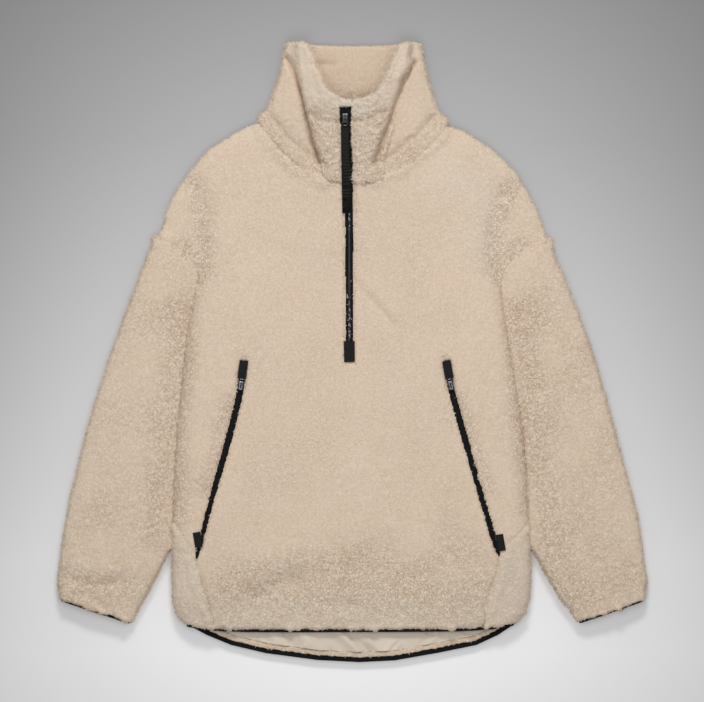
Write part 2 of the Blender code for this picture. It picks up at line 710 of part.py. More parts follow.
def build_back(group, finish):
    """The back panel: a flat slab with the front's sides and its own longer hem."""
    rows = front_rows()
    left = [(row["left_x"] + BACK_INSET, row["left_y"]) for row in rows[1:-1]]
    right = [(row["right_x"] - BACK_INSET, row["right_y"]) for row in rows[1:-1]]
    hem = shifted_hem(BACK_HEM_BINDING + SEAM_GAP)
    neck = []
    for step in range(BACK_NECK_STEPS + 1):
        across = step / BACK_NECK_STEPS
        reach = abs(2.0 * across - 1.0)
        rise = BACK_NECK_RISE * (1.0 - reach ** 2) - NECK_INSET - NECK_CORNER_DROP * reach ** 4
        x = lerp(NECK_RIGHT[0] - NECK_INSET, NECK_LEFT[0] + NECK_INSET, across)
        neck.append((x, lerp(NECK_RIGHT[1], NECK_LEFT[1], across) + rise))
    outline = left + hem + list(reversed(right)) + neck
    return slab("back", outline, 0.0, BACK_WALL, group, finish, BACK_BEVEL)


def shifted_hem(inset, trim=0):
    """The back hem line moved in from the binding's outer edge, left to right, its ends trimmed."""
    points = []
    for index, (x, y) in enumerate(BACK_HEM):
        if index < trim or index >= len(BACK_HEM) - trim:
            continue
        before = Vector(BACK_HEM[max(index - 1, 0)])
        after = Vector(BACK_HEM[min(index + 1, len(BACK_HEM) - 1)])
        heading = (after - before).normalized()
        points.append((x - heading.y * inset, y + heading.x * inset))
    return points


def hem_band(name, insets, levels, group, finish, trim=0, bevel=0.0):
    """A curved strip along the back hem between two insets and two levels."""
    outline = shifted_hem(insets[0], trim) + list(reversed(shifted_hem(insets[1], trim)))
    low, high = levels
    return slab(name, outline, low, high, group, finish, bevel)


def build_front_binding(group, finish):
    """The binding under the front hem, a bar that follows the last section."""
    hem = front_section(front_rows()[-1])[FRONT_BINDING_TRIM:-FRONT_BINDING_TRIM]
    upper = [(x, y - SEAM_GAP) for x, y, level in hem]
    lower = [(x, y - SEAM_GAP - FRONT_HEM_BINDING) for x, y, level in hem]
    outline = lower + list(reversed(upper))
    low = FRONT_FOOT + FRONT_HEM_BINDING_LIFT
    high = low + FRONT_HEM_BINDING_HEIGHT
    return slab("front_hem_binding", outline, low, high, group, finish, FRONT_BINDING_BEVEL)


def build_tuck(name, side, group, finish):
    """The tucked side: hidden layers shared in one rounded solid under the front."""
    sections = []
    for record in front_rows()[TUCK_FIRST_ROW:TUCK_LAST_ROW]:
        section = []
        for inward, share in TUCK_SECTION:
            roof = crown(record, inward) - FRONT_WALL - TUCK_CLEARANCE
            x, y = plan_point(record, inward, side)
            section.append((x, y, lerp(FRONT_FOOT, max(roof, FRONT_FOOT + TUCK_LEAST), share)))
        sections.append(section if side > 0 else list(reversed(section)))
    shape = bmesh.new()
    lines = [[shape.verts.new(Vector(point) * MM) for point in section] for section in sections]
    count = len(lines[0])
    for upper, lower in zip(lines, lines[1:]):
        for index in range(count):
            after = (index + 1) % count
            shape.faces.new((upper[index], upper[after], lower[after], lower[index]))
    shape.faces.new(lines[0])
    shape.faces.new(lines[-1])
    bmesh.ops.recalc_face_normals(shape, faces=shape.faces)
    mesh = bpy.data.meshes.new(name)
    shape.to_mesh(mesh)
    shape.free()
    return new_object(name, mesh, group, finish)


def main():
    """Build every piece of the garment."""
    clear_scene()
    group = make_collection("sherpa_pullover")
    cutters = make_collection("cutters")
    finishes = {name: make_finish(name) for name in FINISHES}
    fleece = finishes["fleece"]
    tape = finishes["black_tape"]

    front = new_object("front", front_mesh("front"), group, fleece)
    collar = new_object("collar", collar_mesh("collar"), group, fleece)
    surface = Surface([front, collar])
    add_wall(front, FRONT_WALL)
    add_wall(collar, COLLAR_WALL)

    for side, label, seam in ((-1, "left", GORE_LEFT), (1, "right", GORE_RIGHT)):
        cutter = slab("gore_cut_" + label, gore_outline(seam, side, 0.0), 0.0, GORE_CUT_HEIGHT, cutters)
        inside = gore_outline(seam, side, SEAM_GAP)
        keeper = slab("gore_keep_" + label, inside, 0.0, GORE_CUT_HEIGHT, cutters)
        gore = new_object("side_gore_" + label, front_mesh("side_gore_" + label), group, fleece)
        add_wall(gore, FRONT_WALL)
        add_boolean(gore, as_cutter(keeper), "INTERSECT")
        add_boolean(front, as_cutter(cutter), "DIFFERENCE")

    build_back(group, fleece)
    build_sleeve("sleeve_left", SLEEVE_LEFT, -1, group, fleece)
    build_sleeve("sleeve_right", SLEEVE_RIGHT, 1, group, fleece)
    build_cuff_binding("cuff_binding_left", SLEEVE_LEFT, -1, group, tape)
    build_cuff_binding("cuff_binding_right", SLEEVE_RIGHT, 1, group, tape)
    build_tuck("tucked_side_left", -1, group, fleece)
    build_tuck("tucked_side_right", 1, group, fleece)

    hem_band("back_hem_binding", (0.0, BACK_HEM_BINDING), (0.0, BACK_HEM_BINDING_HEIGHT), group, tape,
             bevel=BACK_BEVEL)
    strip_start = BACK_HEM_BINDING + SEAM_GAP
    strip_end = strip_start + FLEECE_STRIP
    hem_band("back_fleece_edge", (strip_start, strip_end), (FRONT_FOOT, FRONT_FOOT + FLEECE_STRIP_WALL),
             group, fleece, trim=1)
    lining_edge = shifted_hem(strip_end + SEAM_GAP, 1)
    lining_outline = lining_edge + [(lining_edge[-1][0], LINING_TOP_Y), (lining_edge[0][0], LINING_TOP_Y)]
    slab("back_lining", lining_outline, FRONT_FOOT, FRONT_FOOT + LINING_WALL, group, finishes["lining"])
    build_front_binding(group, tape)

    zips = (
        ("half_zip", HALF_ZIP_LINE, HALF_ZIP_WIDTH, HALF_ZIP_ENDS, ZIP_STATIONS),
        ("pocket_zip_left", POCKET_LEFT_LINE, POCKET_ZIP_WIDTH, POCKET_ZIP_ENDS, POCKET_STATIONS),
        ("pocket_zip_right", POCKET_RIGHT_LINE, POCKET_ZIP_WIDTH, POCKET_ZIP_ENDS, POCKET_STATIONS),
    )
    for name, line, width, ends, count in zips:
        ribbon(name + "_tape", line, count, width, surface, -TAPE_DEPTH, TAPE_WALL, group, tape, ends)
        channel = groove(name + "_groove", line, count, width, ends, surface, cutters)
        add_boolean(front, channel, "DIFFERENCE")
        if name == "half_zip":
            add_boolean(collar, channel, "DIFFERENCE")

    down = Vector((0.0, -1.0))
    groups = (group, cutters)
    top = Vector(HALF_ZIP_LINE[0]) + down * SLIDER_DROP
    fit_slider("half_zip", top, down, MAIN_LOOP_LENGTH, down, surface, groups, finishes)
    pull_level = WEBBING_LIFT + WEBBING_WALL
    end_level = END_TAB_LIFT + END_TAB_WALL
    ribbon("half_zip_webbing", WEBBING_LINE, WEBBING_STATIONS, WEBBING_WIDTH, surface, pull_level,
           WEBBING_WALL, group, tape)
    ribbon("half_zip_end_tab", END_TAB_LINE, TAB_STATIONS, END_TAB_WIDTH, surface, end_level,
           END_TAB_WALL, group, tape)

    pockets = (("left", POCKET_LEFT_LINE, POCKET_END_LEFT), ("right", POCKET_RIGHT_LINE, POCKET_END_RIGHT))
    for label, line, end in pockets:
        heading = (Vector(line[1]) - Vector(line[0])).normalized()
        spot = Vector(line[0]) + heading * POCKET_SLIDER_DROP
        prefix = "pocket_zip_" + label
        fit_slider(prefix, spot, heading, POCKET_LOOP_LENGTH, -heading, surface, groups, finishes)
        tab_start = spot - heading * (POCKET_LOOP_LENGTH + LOOP_WIRE + SEAM_GAP)
        tab_line = (tab_start, tab_start - heading * POCKET_TAB_LENGTH)
        ribbon(prefix + "_pull_tab", tab_line, TAB_STATIONS, POCKET_TAB_WIDTH, surface, pull_level,
               WEBBING_WALL, group, tape)
        ribbon(prefix + "_end_tab", end, TAB_STATIONS, POCKET_END_WIDTH, surface, end_level,
               END_TAB_WALL, group, tape)


main()
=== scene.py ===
"""Looks of the sherpa fleece half zip pullover, laid flat, front up."""

import json
from contextlib import contextmanager

import bmesh
import bpy
import numpy as np
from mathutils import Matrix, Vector
from mathutils.bvhtree import BVHTree

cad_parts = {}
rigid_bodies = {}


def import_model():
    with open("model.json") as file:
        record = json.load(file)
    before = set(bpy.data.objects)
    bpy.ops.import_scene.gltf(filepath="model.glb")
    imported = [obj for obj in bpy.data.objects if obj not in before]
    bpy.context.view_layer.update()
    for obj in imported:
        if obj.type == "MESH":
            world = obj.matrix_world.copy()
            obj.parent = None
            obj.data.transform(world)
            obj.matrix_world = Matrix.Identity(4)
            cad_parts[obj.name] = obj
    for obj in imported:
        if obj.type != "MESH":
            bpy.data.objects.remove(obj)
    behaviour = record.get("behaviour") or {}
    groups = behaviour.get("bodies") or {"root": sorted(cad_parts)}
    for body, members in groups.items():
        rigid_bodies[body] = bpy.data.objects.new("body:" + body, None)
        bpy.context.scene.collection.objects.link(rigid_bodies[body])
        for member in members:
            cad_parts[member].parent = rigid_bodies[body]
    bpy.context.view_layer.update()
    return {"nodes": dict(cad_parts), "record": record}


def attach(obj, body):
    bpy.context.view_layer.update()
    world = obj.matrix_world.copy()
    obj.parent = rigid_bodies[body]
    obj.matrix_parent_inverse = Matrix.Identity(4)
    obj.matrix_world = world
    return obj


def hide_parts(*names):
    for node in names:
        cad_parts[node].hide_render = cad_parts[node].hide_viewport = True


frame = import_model()

MM = 0.001
GARMENT = "garment"
DOWN = Vector((0.0, 0.0, -1.0))

# The photograph's frame: one pixel is 1.4 mm on the garment, and its middle is at this pixel.
PIXEL = 1.4 * MM
FRAME_WIDTH = 704
FRAME_HEIGHT = 702
MIDDLE_PIXEL = (352.0, 353.0)
CAMERA_HEIGHT = 9.0
SENSOR = 36.0

# Fleece pieces, in millimetres. voxel: grain of the mesh; refine: split what is seen once more;
# curl: size of a curl; depth: how deep the curls are; swell: how far the pile stands over the solid;
# softening: rounds of smoothing; passage: how much wider the hollow of a tube is made, so that the mesh
# keeps it; tufts: loose tufts for each square centimetre.
FLEECE_COLUMNS = (
    "name", "node", "voxel", "refine", "curl", "depth", "swell", "softening", "passage", "tufts",
)
FLEECE_PIECES = (
    ("front_fleece", "front", 4.3, True, 5.6, 1.5, 1.3, 4, 0, 15),
    ("side_gore_left_fleece", "side_gore_left", 2.3, False, 5.6, 1.8, 1.6, 4, 0, 15),
    ("side_gore_right_fleece", "side_gore_right", 2.3, False, 5.6, 1.8, 1.6, 4, 0, 15),
    ("sleeve_left_fleece", "sleeve_left", 1.8, False, 5.6, 1.7, 1.7, 7, 2, 15),
    ("sleeve_right_fleece", "sleeve_right", 1.8, False, 5.6, 1.7, 1.7, 7, 2, 15),
    ("collar_fleece", "collar", 1.7, False, 5.4, 3, 1.5, 4, 0, 18),
    ("back_fleece", "back", 6, False, 6, 1.2, 0.3, 2, 0, 10),
    ("hem_edge_fleece", "back_fleece_edge", 1, False, 3.4, 1.2, 0.3, 2, 0, 6),
)

# How each cloth piece was cut: width and length of its flat rectangle, its area, what it lies on and
# the CAD pieces sewn to it.
SHEET_COLUMNS = ("piece", "width", "length", "area", "rests_on", "sewn")
SHEETS = (
    ("front_fleece", 0.60, 0.74, 0.331, ("back_fleece", "sleeve_left_fleece", "sleeve_right_fleece"),
     ("front_hem_binding", "half_zip_tape", "pocket_zip_left_tape", "pocket_zip_right_tape")),
    ("back_fleece", 0.56, 0.80, 0.351, ("floor",), ("back_hem_binding",)),
    ("side_gore_left_fleece", 0.075, 0.145, 0.0066, ("back_fleece",), ()),
    ("side_gore_right_fleece", 0.08, 0.145, 0.0072, ("back_fleece",), ()),
    ("sleeve_left_fleece", 0.30, 0.50, 0.114, ("floor",), ("cuff_binding_left",)),
    ("sleeve_right_fleece", 0.31, 0.50, 0.119, ("floor",), ("cuff_binding_right",)),
    ("collar_fleece", 0.50, 0.155, 0.0592, ("floor",), ()),
    ("hem_edge_fleece", 0.43, 0.010, 0.0036, ("lining_sheet",), ()),
    ("lining_sheet", 0.46, 0.11, 0.0425, ("back_fleece",), ()),
)

# The tables below are in millimetres and list the rows of each piece; a route is a line in plan.
# Soft folds: half width, depth (less than nothing is a ridge), how uneven the fold is; narrow folds that
# sink in also get painted shade.
CREASE_COLUMNS = ("width", "depth", "uneven", "route")
CREASES = {
    "front_fleece": (
        (19, 5, 0.3, ((-140, -347), (-112, -333), (-86, -319))),
        (26, -3, 0.2, ((-128, -308), (-100, -298), (-62, -284))),
        (11, 2.5, 0.4, ((-36, -356), (-18, -352), (2, -354))),
        (26, -2.4, 0.2, ((0, -165), (2, -260), (-4, -365))),
        (22, 3, 0.2, ((46, -150), (60, -240), (66, -360))),
        (18, 1.8, 0.3, ((128, -250), (122, -300), (134, -352))),
        (16, 1.6, 0.3, ((-70, -356), (-40, -318), (-28, -270))),
        (5, 1.5, 0.5, ((6, 99), (14, 88), (27, 77))),
        (5, 1.8, 0.5, ((30, 72), (46, 58), (58, 40))),
        (12, -1, 0.4, ((20, 96), (44, 76), (66, 52))),
        (9, 2.2, 0.3, ((252, 203), (236, 211), (214, 219))),
        (24, 1.6, 0.3, ((-180, 120), (-192, 10), (-196, -110))),
        (26, 1.5, 0.3, ((182, 110), (186, 0), (196, -120))),
        (14, 1.6, 0.3, ((-214, 230), (-203, 190), (-204, 150))),
        (14, 1.8, 0.3, ((212, 228), (200, 190), (197, 150))),
        (7, -1.8, 0.7, ((-133, 311), (-108, 283), (-78, 254), (-40, 236))),
        (7, -1.8, 0.7, ((30, 236), (72, 254), (108, 282), (134, 306))),
        (3.5, 2, 0.4, ((-217, -296), (-202, -350), (-193, -377))),
        (3.5, 1.6, 0.4, ((205, -290), (200.5, -310), (184, -358))),
    ),
    "side_gore_left_fleece": (
        (5, -2, 0.4, ((-229, -290), (-213, -345), (-203, -378))),
    ),
    "side_gore_right_fleece": (
        (5, -1.6, 0.4, ((216, -285), (211, -312), (196, -360))),
    ),
    "sleeve_left_fleece": (
        (10, 2.2, 0.6, ((-322, -316), (-350, -325), (-372, -321), (-404, -309))),
        (12, -1.4, 0.6, ((-318, -303), (-360, -306), (-402, -300))),
        (8, 2.2, 0.3, ((-372, -338), (-352, -352), (-340, -362))),
        (14, 1.4, 0.3, ((-300, -60), (-330, -160), (-345, -250))),
        (9, 1.8, 0.5, ((-262, 60), (-252, 10), (-262, -60))),
        # Narrow fold at the body's edge; its painted shade draws the dark line between sleeve and body
        (3.5, 3, 0.5, ((-246.5, -170), (-250, -213), (-251, -262))),
    ),
    "sleeve_right_fleece": (
        # Narrow fold at the body's edge; its painted shade draws the dark line between sleeve and body
        (3.5, 4.5, 0.5, ((240, -105), (242.5, -150), (246, -205), (248, -245))),
        (8, 2.6, 0.3, ((333, -285), (346, -345), (350, -370))),
        (9, 2.4, 0.3, ((388, -300), (398, -325), (392, -345))),
        (8, 2, 0.5, ((260, -150), (264, -210), (280, -285))),
        (14, 1.5, 0.3, ((300, -120), (318, -200), (322, -270))),
        (9, 1.6, 0.5, ((262, 50), (250, 0), (262, -60))),
    ),
    # Edges of the raised middle, its stitched fold and the ridge over the neck seam
    "collar_fleece": (
        (4.6, 9.5, 0.2, ((-90.5, 412), (-77.5, 388), (-70, 362), (-62, 325), (-55, 295), (-44, 268))),
        (4.6, 9.5, 0.2, ((86, 405), (71, 383), (61, 352), (52, 322), (42, 295), (33, 268))),
        (5, -3.5, 0.2, ((-80, 432), (-75.5, 405), (-71, 384))),
        (5, -3.5, 0.2, ((80, 432), (71, 405), (65, 384))),
        (11, -2.2, 0.3, ((-68, 402), (-57, 365), (-48, 325), (-40, 290))),
        (11, -2.2, 0.3, ((70, 398), (55, 365), (42, 325), (32, 292))),
        (4.5, 3.2, 0.3, ((-56, 337), (-50, 328), (-41, 323), (-19, 321.5))),
        (4.5, 3.2, 0.3, ((4, 323), (25, 327), (45, 337))),
        (5, 1.8, 0.2, ((-56, 403), (-40, 404), (-25, 403.5))),
        (4.5, 2.6, 0.7, ((-114, 333), (-90, 304), (-64, 279), (-38, 263))),
        (4.5, 2.6, 0.7, ((30, 263), (62, 281), (90, 305), (114, 331))),
    ),
}

# Where the pile is curlier (more than nothing) or brushed smooth (less than nothing).
CURL_COLUMNS = ("reach", "amount", "route")
CURLS = {
    "collar_fleece": (
        (24, 1, ((-34, 326), (-26, 290), (-16, 258))),
        (24, 1, ((28, 326), (22, 290), (12, 258))),
        (18, 0.35, ((-118, 326), (-88, 290), (-52, 262), (-20, 252))),
        (18, 0.35, ((14, 252), (60, 266), (92, 292), (118, 324))),
        (12, -0.1, ((-74, 428), (-62, 396), (-54, 374), (-36, 357), (0, 350))),
        (12, 0.25, ((0, 350), (32, 357), (48, 374), (58, 400), (72, 428))),
    ),
    "front_fleece": (
        (14, 0.25, ((-133, 314), (-106, 285), (-76, 255), (-20, 236))),
        (14, 0.25, ((20, 236), (70, 254), (106, 284), (134, 308))),
        (16, 0.7, ((-236, 150), (-206, 115), (-206, 180), (-222, 236))),
        (16, 0.7, ((232, 150), (200, 110), (200, 180), (222, 232))),
        (38, 0.8, ((-170, -355), (-60, -350), (100, -352), (180, -352))),
        (26, 0.5, ((-150, -310), (-100, -300), (-60, -280), (-10, -300))),
        (34, 0.35, ((20, -290), (90, -300), (150, -280))),
        (12, 0.5, ((-168, -60), (-184, -120), (-204, -190))),
        (12, 0.5, ((150, -60), (168, -120), (190, -190))),
        (14, 0.5, ((215, 120), (222, 0), (236, -120), (240, -220))),
        (14, 0.5, ((-218, 100), (-232, -20), (-240, -140), (-242, -230))),
    ),
    "side_gore_left_fleece": (
        (60, 0.35, ((-225, -300), (-215, -360))),
    ),
    "side_gore_right_fleece": (
        (60, 0.35, ((225, -300), (215, -360))),
    ),
    "sleeve_left_fleece": (
        (22, 0.55, ((-238, 60), (-250, -40), (-264, -160), (-274, -250))),
        (70, 0.25, ((-290, 60), (-330, -100), (-360, -280))),
        (30, 0.45, ((-300, -330), (-390, -330))),
    ),
    "sleeve_right_fleece": (
        (24, 0.65, ((232, 60), (246, -40), (262, -160), (286, -300), (300, -350))),
        (70, 0.25, ((290, 60), (330, -100), (360, -280))),
        (30, 0.45, ((310, -340), (390, -320))),
    ),
    "hem_edge_fleece": (
        (500, 0.3, ((-200, -400), (200, -400))),
    ),
}
CURL_BASE = 0.28
CURL_UNEVEN = 0.35
EDGE_RAGGED = 0.2
TUFT_LENGTH = 2.8
TUFT_WIDTH = 0.8

# Where pile hangs over a binding or into a zip, the direction it hangs and how much.
FRINGE_COLUMNS = ("route", "reach", "hang", "amount")
FRINGES = {
    "front_fleece": (
        (((-200, -378), (-120, -386), (120, -386), (190, -378)), 14, (0, -1), 0.12),
        (((-200, -380), (-160, -384)), 12, (0, -1), 0.75),
        (((-82, -386), (-44, -386)), 12, (0, -1), 0.75),
        (((-9, -386), (57, -386)), 12, (0, -1), 0.75),
        (((102, -386), (114, -386)), 9, (0, -1), 0.75),
        (((130, -385), (158, -382)), 10, (0, -1), 0.75),
    ),
    "side_gore_left_fleece": (
        (((-215, -382), (-190, -384)), 10, (0, -1), 0.6),
    ),
    "side_gore_right_fleece": (
        (((212, -380), (184, -384)), 10, (0, -1), 0.6),
    ),
    "sleeve_left_fleece": (
        (((-407, -342.5), (-308, -375)), 9, (-0.31, -0.95), 0.55),
    ),
    "sleeve_right_fleece": (
        (((407.5, -343), (315, -375)), 9, (0.33, -0.94), 0.55),
    ),
    "hem_edge_fleece": (
        (((-190, -396), (-110, -412), (10, -424), (110, -412), (190, -396)), 10, (0, -1), 0.05),
    ),
}

# Where the cloth is drawn paler and greyer (more than nothing) or warmer and darker (less than nothing),
# between a lowest and a highest point; the warmer, darker rows are painted shade.
TONE_COLUMNS = ("low", "high", "reach", "amount", "route")
TONES = {
    "collar_fleece": (
        (16, 90, 15, 0.8, ((-78, 424), (-66, 400), (-60, 376), (-44, 358), (-20, 349), (0, 347))),
        (16, 90, 15, 0.6, ((4, 347), (22, 350), (42, 358), (56, 376), (63, 400), (76, 424))),
        (16, 90, 20, 0.4, ((-32, 318), (-26, 290), (-18, 262))),
        (16, 90, 20, 0.4, ((28, 318), (20, 290), (12, 262))),
        # Painted shade: the inside of the collar, under its rims, drawn warmer and darker
        (-1, 26, 34, -0.6, ((-34, 412), (34, 412))),
        (-1, 26, 26, -0.4, ((-18, 380), (18, 380))),
        # Painted shade: the lobes beside the raised middle, drawn warmer and darker
        (16, 90, 34, -0.25, ((-108, 340), (-86, 372), (-70, 300))),
        (16, 90, 34, -0.25, ((108, 340), (82, 372), (66, 300))),
    ),
    "front_fleece": (
        (-1, 90, 34, 0.45, ((140, 250), (180, 210), (190, 150))),
        (-1, 90, 30, 0.5, ((-190, -372), (180, -372))),
    ),
    "side_gore_left_fleece": (
        (-1, 90, 60, 0.6, ((-225, -300), (-215, -360))),
    ),
    "side_gore_right_fleece": (
        (-1, 90, 60, 0.6, ((225, -300), (215, -360))),
    ),
}

# Edges that are pushed into their neighbour.
SEAM_COLUMNS = ("reach", "push", "route")
SEAMS = {
    "collar_fleece": (
        (10, 8, ((-123, 325), (-104, 300), (-87, 277), (-59, 259), (-30, 247), (0, 244), (36, 248),
          (68, 266), (101, 294), (126, 321))),
        (8, 5, ((-84, 412), (-71, 386), (-63.5, 362), (-56, 325), (-49, 295), (-40, 270))),
        (8, 5, ((80, 405), (65, 383), (55, 352), (46, 322), (37, 295), (29, 270))),
    ),
    "side_gore_left_fleece": (
        (8, 3, ((-245, -241), (-224, -278.5), (-221, -294), (-205.5, -350), (-196, -377))),
    ),
    "side_gore_right_fleece": (
        (8, 3, ((246.5, -239.5), (214.5, -272), (208.5, -289), (204.5, -309.5), (187.5, -358))),
    ),
    "sleeve_left_fleece": (
        (12, 7, ((-271, 160), (-217, 112), (-222.5, 84), (-236, 4), (-248, -110), (-253, -195),
          (-255, -262))),
    ),
    "sleeve_right_fleece": (
        (12, 7, ((273, 154), (240, 132), (212, 100), (213, 72), (224, -5), (241, -113), (247, -196),
          (252, -262))),
    ),
}

# Plan lines of the zips, and the first and last share of each that carry teeth.
HALF_ZIP_LINE = ((-9.6, 343), (-8.8, 318), (-6, 288), (-4.3, 260), (-3.8, 195), (-3.6, -12))
POCKET_LEFT_LINE = ((-150.5, -10), (-157, -60), (-172, -120), (-192, -190), (-218, -290))
POCKET_RIGHT_LINE = ((131.5, -10), (139.5, -55), (155, -110), (176, -185), (206.3, -287))
TEETH_COLUMNS = ("name", "node", "line", "first", "last", "finish")
TEETH = (
    ("half_zip_teeth", "half_zip_tape", HALF_ZIP_LINE, 0.075, 0.93, "worn"),
    ("pocket_zip_left_teeth", "pocket_zip_left_tape", POCKET_LEFT_LINE, 0.17, 0.86, "plain"),
    ("pocket_zip_right_teeth", "pocket_zip_right_tape", POCKET_RIGHT_LINE, 0.17, 0.86, "plain"),
)

# How far the pile leaves each zip open: half width at shares of the line.
CHANNEL_COLUMNS = ("tape", "line", "opening")
HALF_OPENING = ((0, 11.4), (0.07, 10.6), (0.15, 9.6), (0.38, 9), (0.45, 7.8), (1, 7.4))
LEFT_OPENING = ((0, 5.2), (0.25, 6), (0.55, 5.2), (0.8, 4.2), (0.9, 3.6), (1, 2.2))
RIGHT_OPENING = ((0, 5.2), (0.2, 6.4), (0.45, 5), (0.6, 4.2), (0.8, 4.8), (0.9, 4.6), (1, 2.4))
CHANNELS = {
    "collar_fleece": (("half_zip_tape", HALF_ZIP_LINE, HALF_OPENING),),
    "front_fleece": (
        ("half_zip_tape", HALF_ZIP_LINE, HALF_OPENING),
        ("pocket_zip_left_tape", POCKET_LEFT_LINE, LEFT_OPENING),
        ("pocket_zip_right_tape", POCKET_RIGHT_LINE, RIGHT_OPENING),
    ),
}
CHANNEL_DEPTH = 1.0
CHANNEL_REACH = 3.5
CHANNEL_RAGGED = 1.3
CHANNEL_SMOOTH = 1.6
CHANNEL_TUFTS = (-0.4, 2.0)
TOOTH_STEP = 1.5
TOOTH_SIZE = (1.5, 0.8, 0.7)
TOOTH_SHIFT = 0.5

# The ribbed webbing pull.
WEBBING_LINE = ((-10, 316), (-9.5, 270), (-8.6, 230), (-8, 195))
RIB_STEP = 4.4
RIB_SIZE = (10.4, 2.0, 0.9)
RIB_LIFT = 0.1

# Lining wrinkles: half width, height, route. The lining is free below the front hem.
WRINKLES = (
    (7, 3.2, ((-22, -389), (-6, -402), (8, -417))),
    (4.5, -1.6, ((2, -398), (14, -410), (24, -418))),
    (6, 2.2, ((24, -404), (34, -411), (42, -418))),
    (3.5, 1.6, ((48, -418), (54, -408), (62, -402))),
    (3, 1.4, ((60, -417), (67, -408))),
    (3.2, -1.8, ((105, -391), (112, -396), (98, -404), (91, -416))),
    (8, 2.4, ((118, -392), (108, -402), (98, -412))),
    (4, 1.8, ((150, -393), (158, -398), (166, -396))),
    (10, 2.6, ((-112, -392), (-104, -404), (-92, -412))),
    (3.5, -1.6, ((-94, -390), (-88, -400), (-84, -410))),
    (12, 2.8, ((-70, -394), (-58, -406), (-44, -414))),
    (4, 1.5, ((-128, -400), (-120, -408), (-112, -410))),
    (5, 1.6, ((-150, -392), (-142, -400))),
    (3, 1.2, ((-76, -417), (-66, -410))),
    (3, 1.2, ((-20, -420), (-30, -408))),
)
LINING_GRAIN = 1.6
LINING_WAVE = 1.6
FRONT_HEM = -376.0

# Colours of the fleece: two shades of hair, then what is laid over them, partly painted shade and sheen.
HAIR_DARK = (0.660, 0.516, 0.383)
HAIR_LIGHT = (0.732, 0.603, 0.476)
CURL_TOP = (0.79, 0.69, 0.575)
# Painted shade: the hollows of the curls and the partings between them, drawn darker
CURL_HOLLOW_SHADE = (0.54, 0.40, 0.28)
CURL_PARTING_SHADE = (0.47, 0.31, 0.19)
SOFT_PATCH = (0.74, 0.645, 0.535)
PALE_ZONE = (0.70, 0.625, 0.535)
# Painted shade in the warm dark zones
WARM_PAINTED_SHADE = (0.53, 0.40, 0.285)
# Painted shade in the narrow folds
FOLD_SHADE = (0.40, 0.275, 0.175)
# Painted sheen where the pile is seen edge-on
PAINTED_RIM_SHEEN = (0.84, 0.77, 0.68)

# Painted light falloff: the floor's reflectance at shares of the way from the picture's top to its
# bottom, its painted fall towards the sides and its painted glow.
FLOOR_TOP = 0.494
FLOOR_BOTTOM = -0.489
FLOOR_PAINTED_FALLOFF = (
    (0.0, 0.282), (0.2, 0.392), (0.46, 0.573), (0.6, 0.66), (0.8, 0.775), (0.93, 0.766), (1.0, 0.718),
)
FLOOR_HALF_WIDTH = 0.48
FLOOR_SIDE_POWER = 1.8
FLOOR_BRIGHT_SHARE = 0.43
FLOOR_SIDE_FALL = 0.33
FLOOR_FALL_CHANGE = -0.4
FLOOR_GLOW = 0.25

# Lights: name, place, size, watts.
LIGHTS = (
    ("top_light", (0.0, 2.4, 2.3), (1.0, 0.6), 50.0),
    ("high_light", (0.0, -0.15, 1.6), (0.8, 0.8), 6.2),
)
WORLD_LIGHT = 0.42


def records(columns, rows):
    """Rows of a table with their column names."""
    return [dict(zip(columns, row)) for row in rows]


def new_object(name, data):
    """Link a mesh, a lamp or a camera as an object of the scene."""
    thing = bpy.data.objects.new(name, data)
    bpy.context.scene.collection.objects.link(thing)
    return thing


def settle(thing):
    """Apply every modifier of an object and keep it as a plain mesh."""
    bpy.context.view_layer.update()
    graph = bpy.context.evaluated_depsgraph_get()
    mesh = bpy.data.meshes.new_from_object(thing.evaluated_get(graph))
    mesh.name = thing.name
    old = thing.data
    thing.modifiers.clear()
    thing.data = mesh
    if old.users == 0:
        bpy.data.meshes.remove(old)


@contextmanager
def reshaped(mesh):
    """The shape of a mesh to work on, written back at the end."""
    shape = bmesh.new()
    shape.from_mesh(mesh)
    yield shape
    shape.to_mesh(mesh)
    shape.free()


def node_copy(name, node):
    """A merged copy of a CAD node's mesh."""
    mesh = frame["nodes"][node].data.copy()
    mesh.name = name
    mesh.materials.clear()
    with reshaped(mesh) as shape:
        bmesh.ops.remove_doubles(shape, verts=shape.verts, dist=1e-6)
    return new_object(name, mesh)


def tree_of(node):
    """A BVH tree of a CAD node."""
    return BVHTree.FromObject(frame["nodes"][node], bpy.context.evaluated_depsgraph_get())


def points_of(mesh):
    """All vertices of a mesh as an array of metres."""
    flat = np.empty(len(mesh.vertices) * 3)
    mesh.vertices.foreach_get("co", flat)
    return flat.reshape(-1, 3)


def normals_of(mesh):
    """All vertex normals of a mesh."""
    flat = np.empty(len(mesh.vertices) * 3, np.float32)
    mesh.vertex_normals.foreach_get("vector", flat)
    return flat.reshape(-1, 3)


def put_points(mesh, points):
    """Write the vertices of a mesh back."""
    mesh.vertices.foreach_set("co", points.reshape(-1))
    mesh.update()


def store(mesh, name, values):
    """Keep a value for each vertex as an attribute."""
    layer = mesh.attributes.new(name, "FLOAT", "POINT")
    layer.data.foreach_set("value", np.asarray(values, np.float32))


def widen_passage(mesh, amount):
    """Move the inner wall of a tube back, so that its hollow is wide enough to keep."""
    points = points_of(mesh)
    normals = normals_of(mesh)
    with reshaped(mesh) as shape:
        surface = BVHTree.FromBMesh(shape)
    for index, (point, normal) in enumerate(zip(points.copy(), normals)):
        facing = Vector(normal)
        hit = surface.ray_cast(Vector(point) + facing * 0.1 * MM, facing, 12.0 * MM)[0]
        if hit is not None:
            points[index] -= np.array(normal) * amount
    put_points(mesh, points)


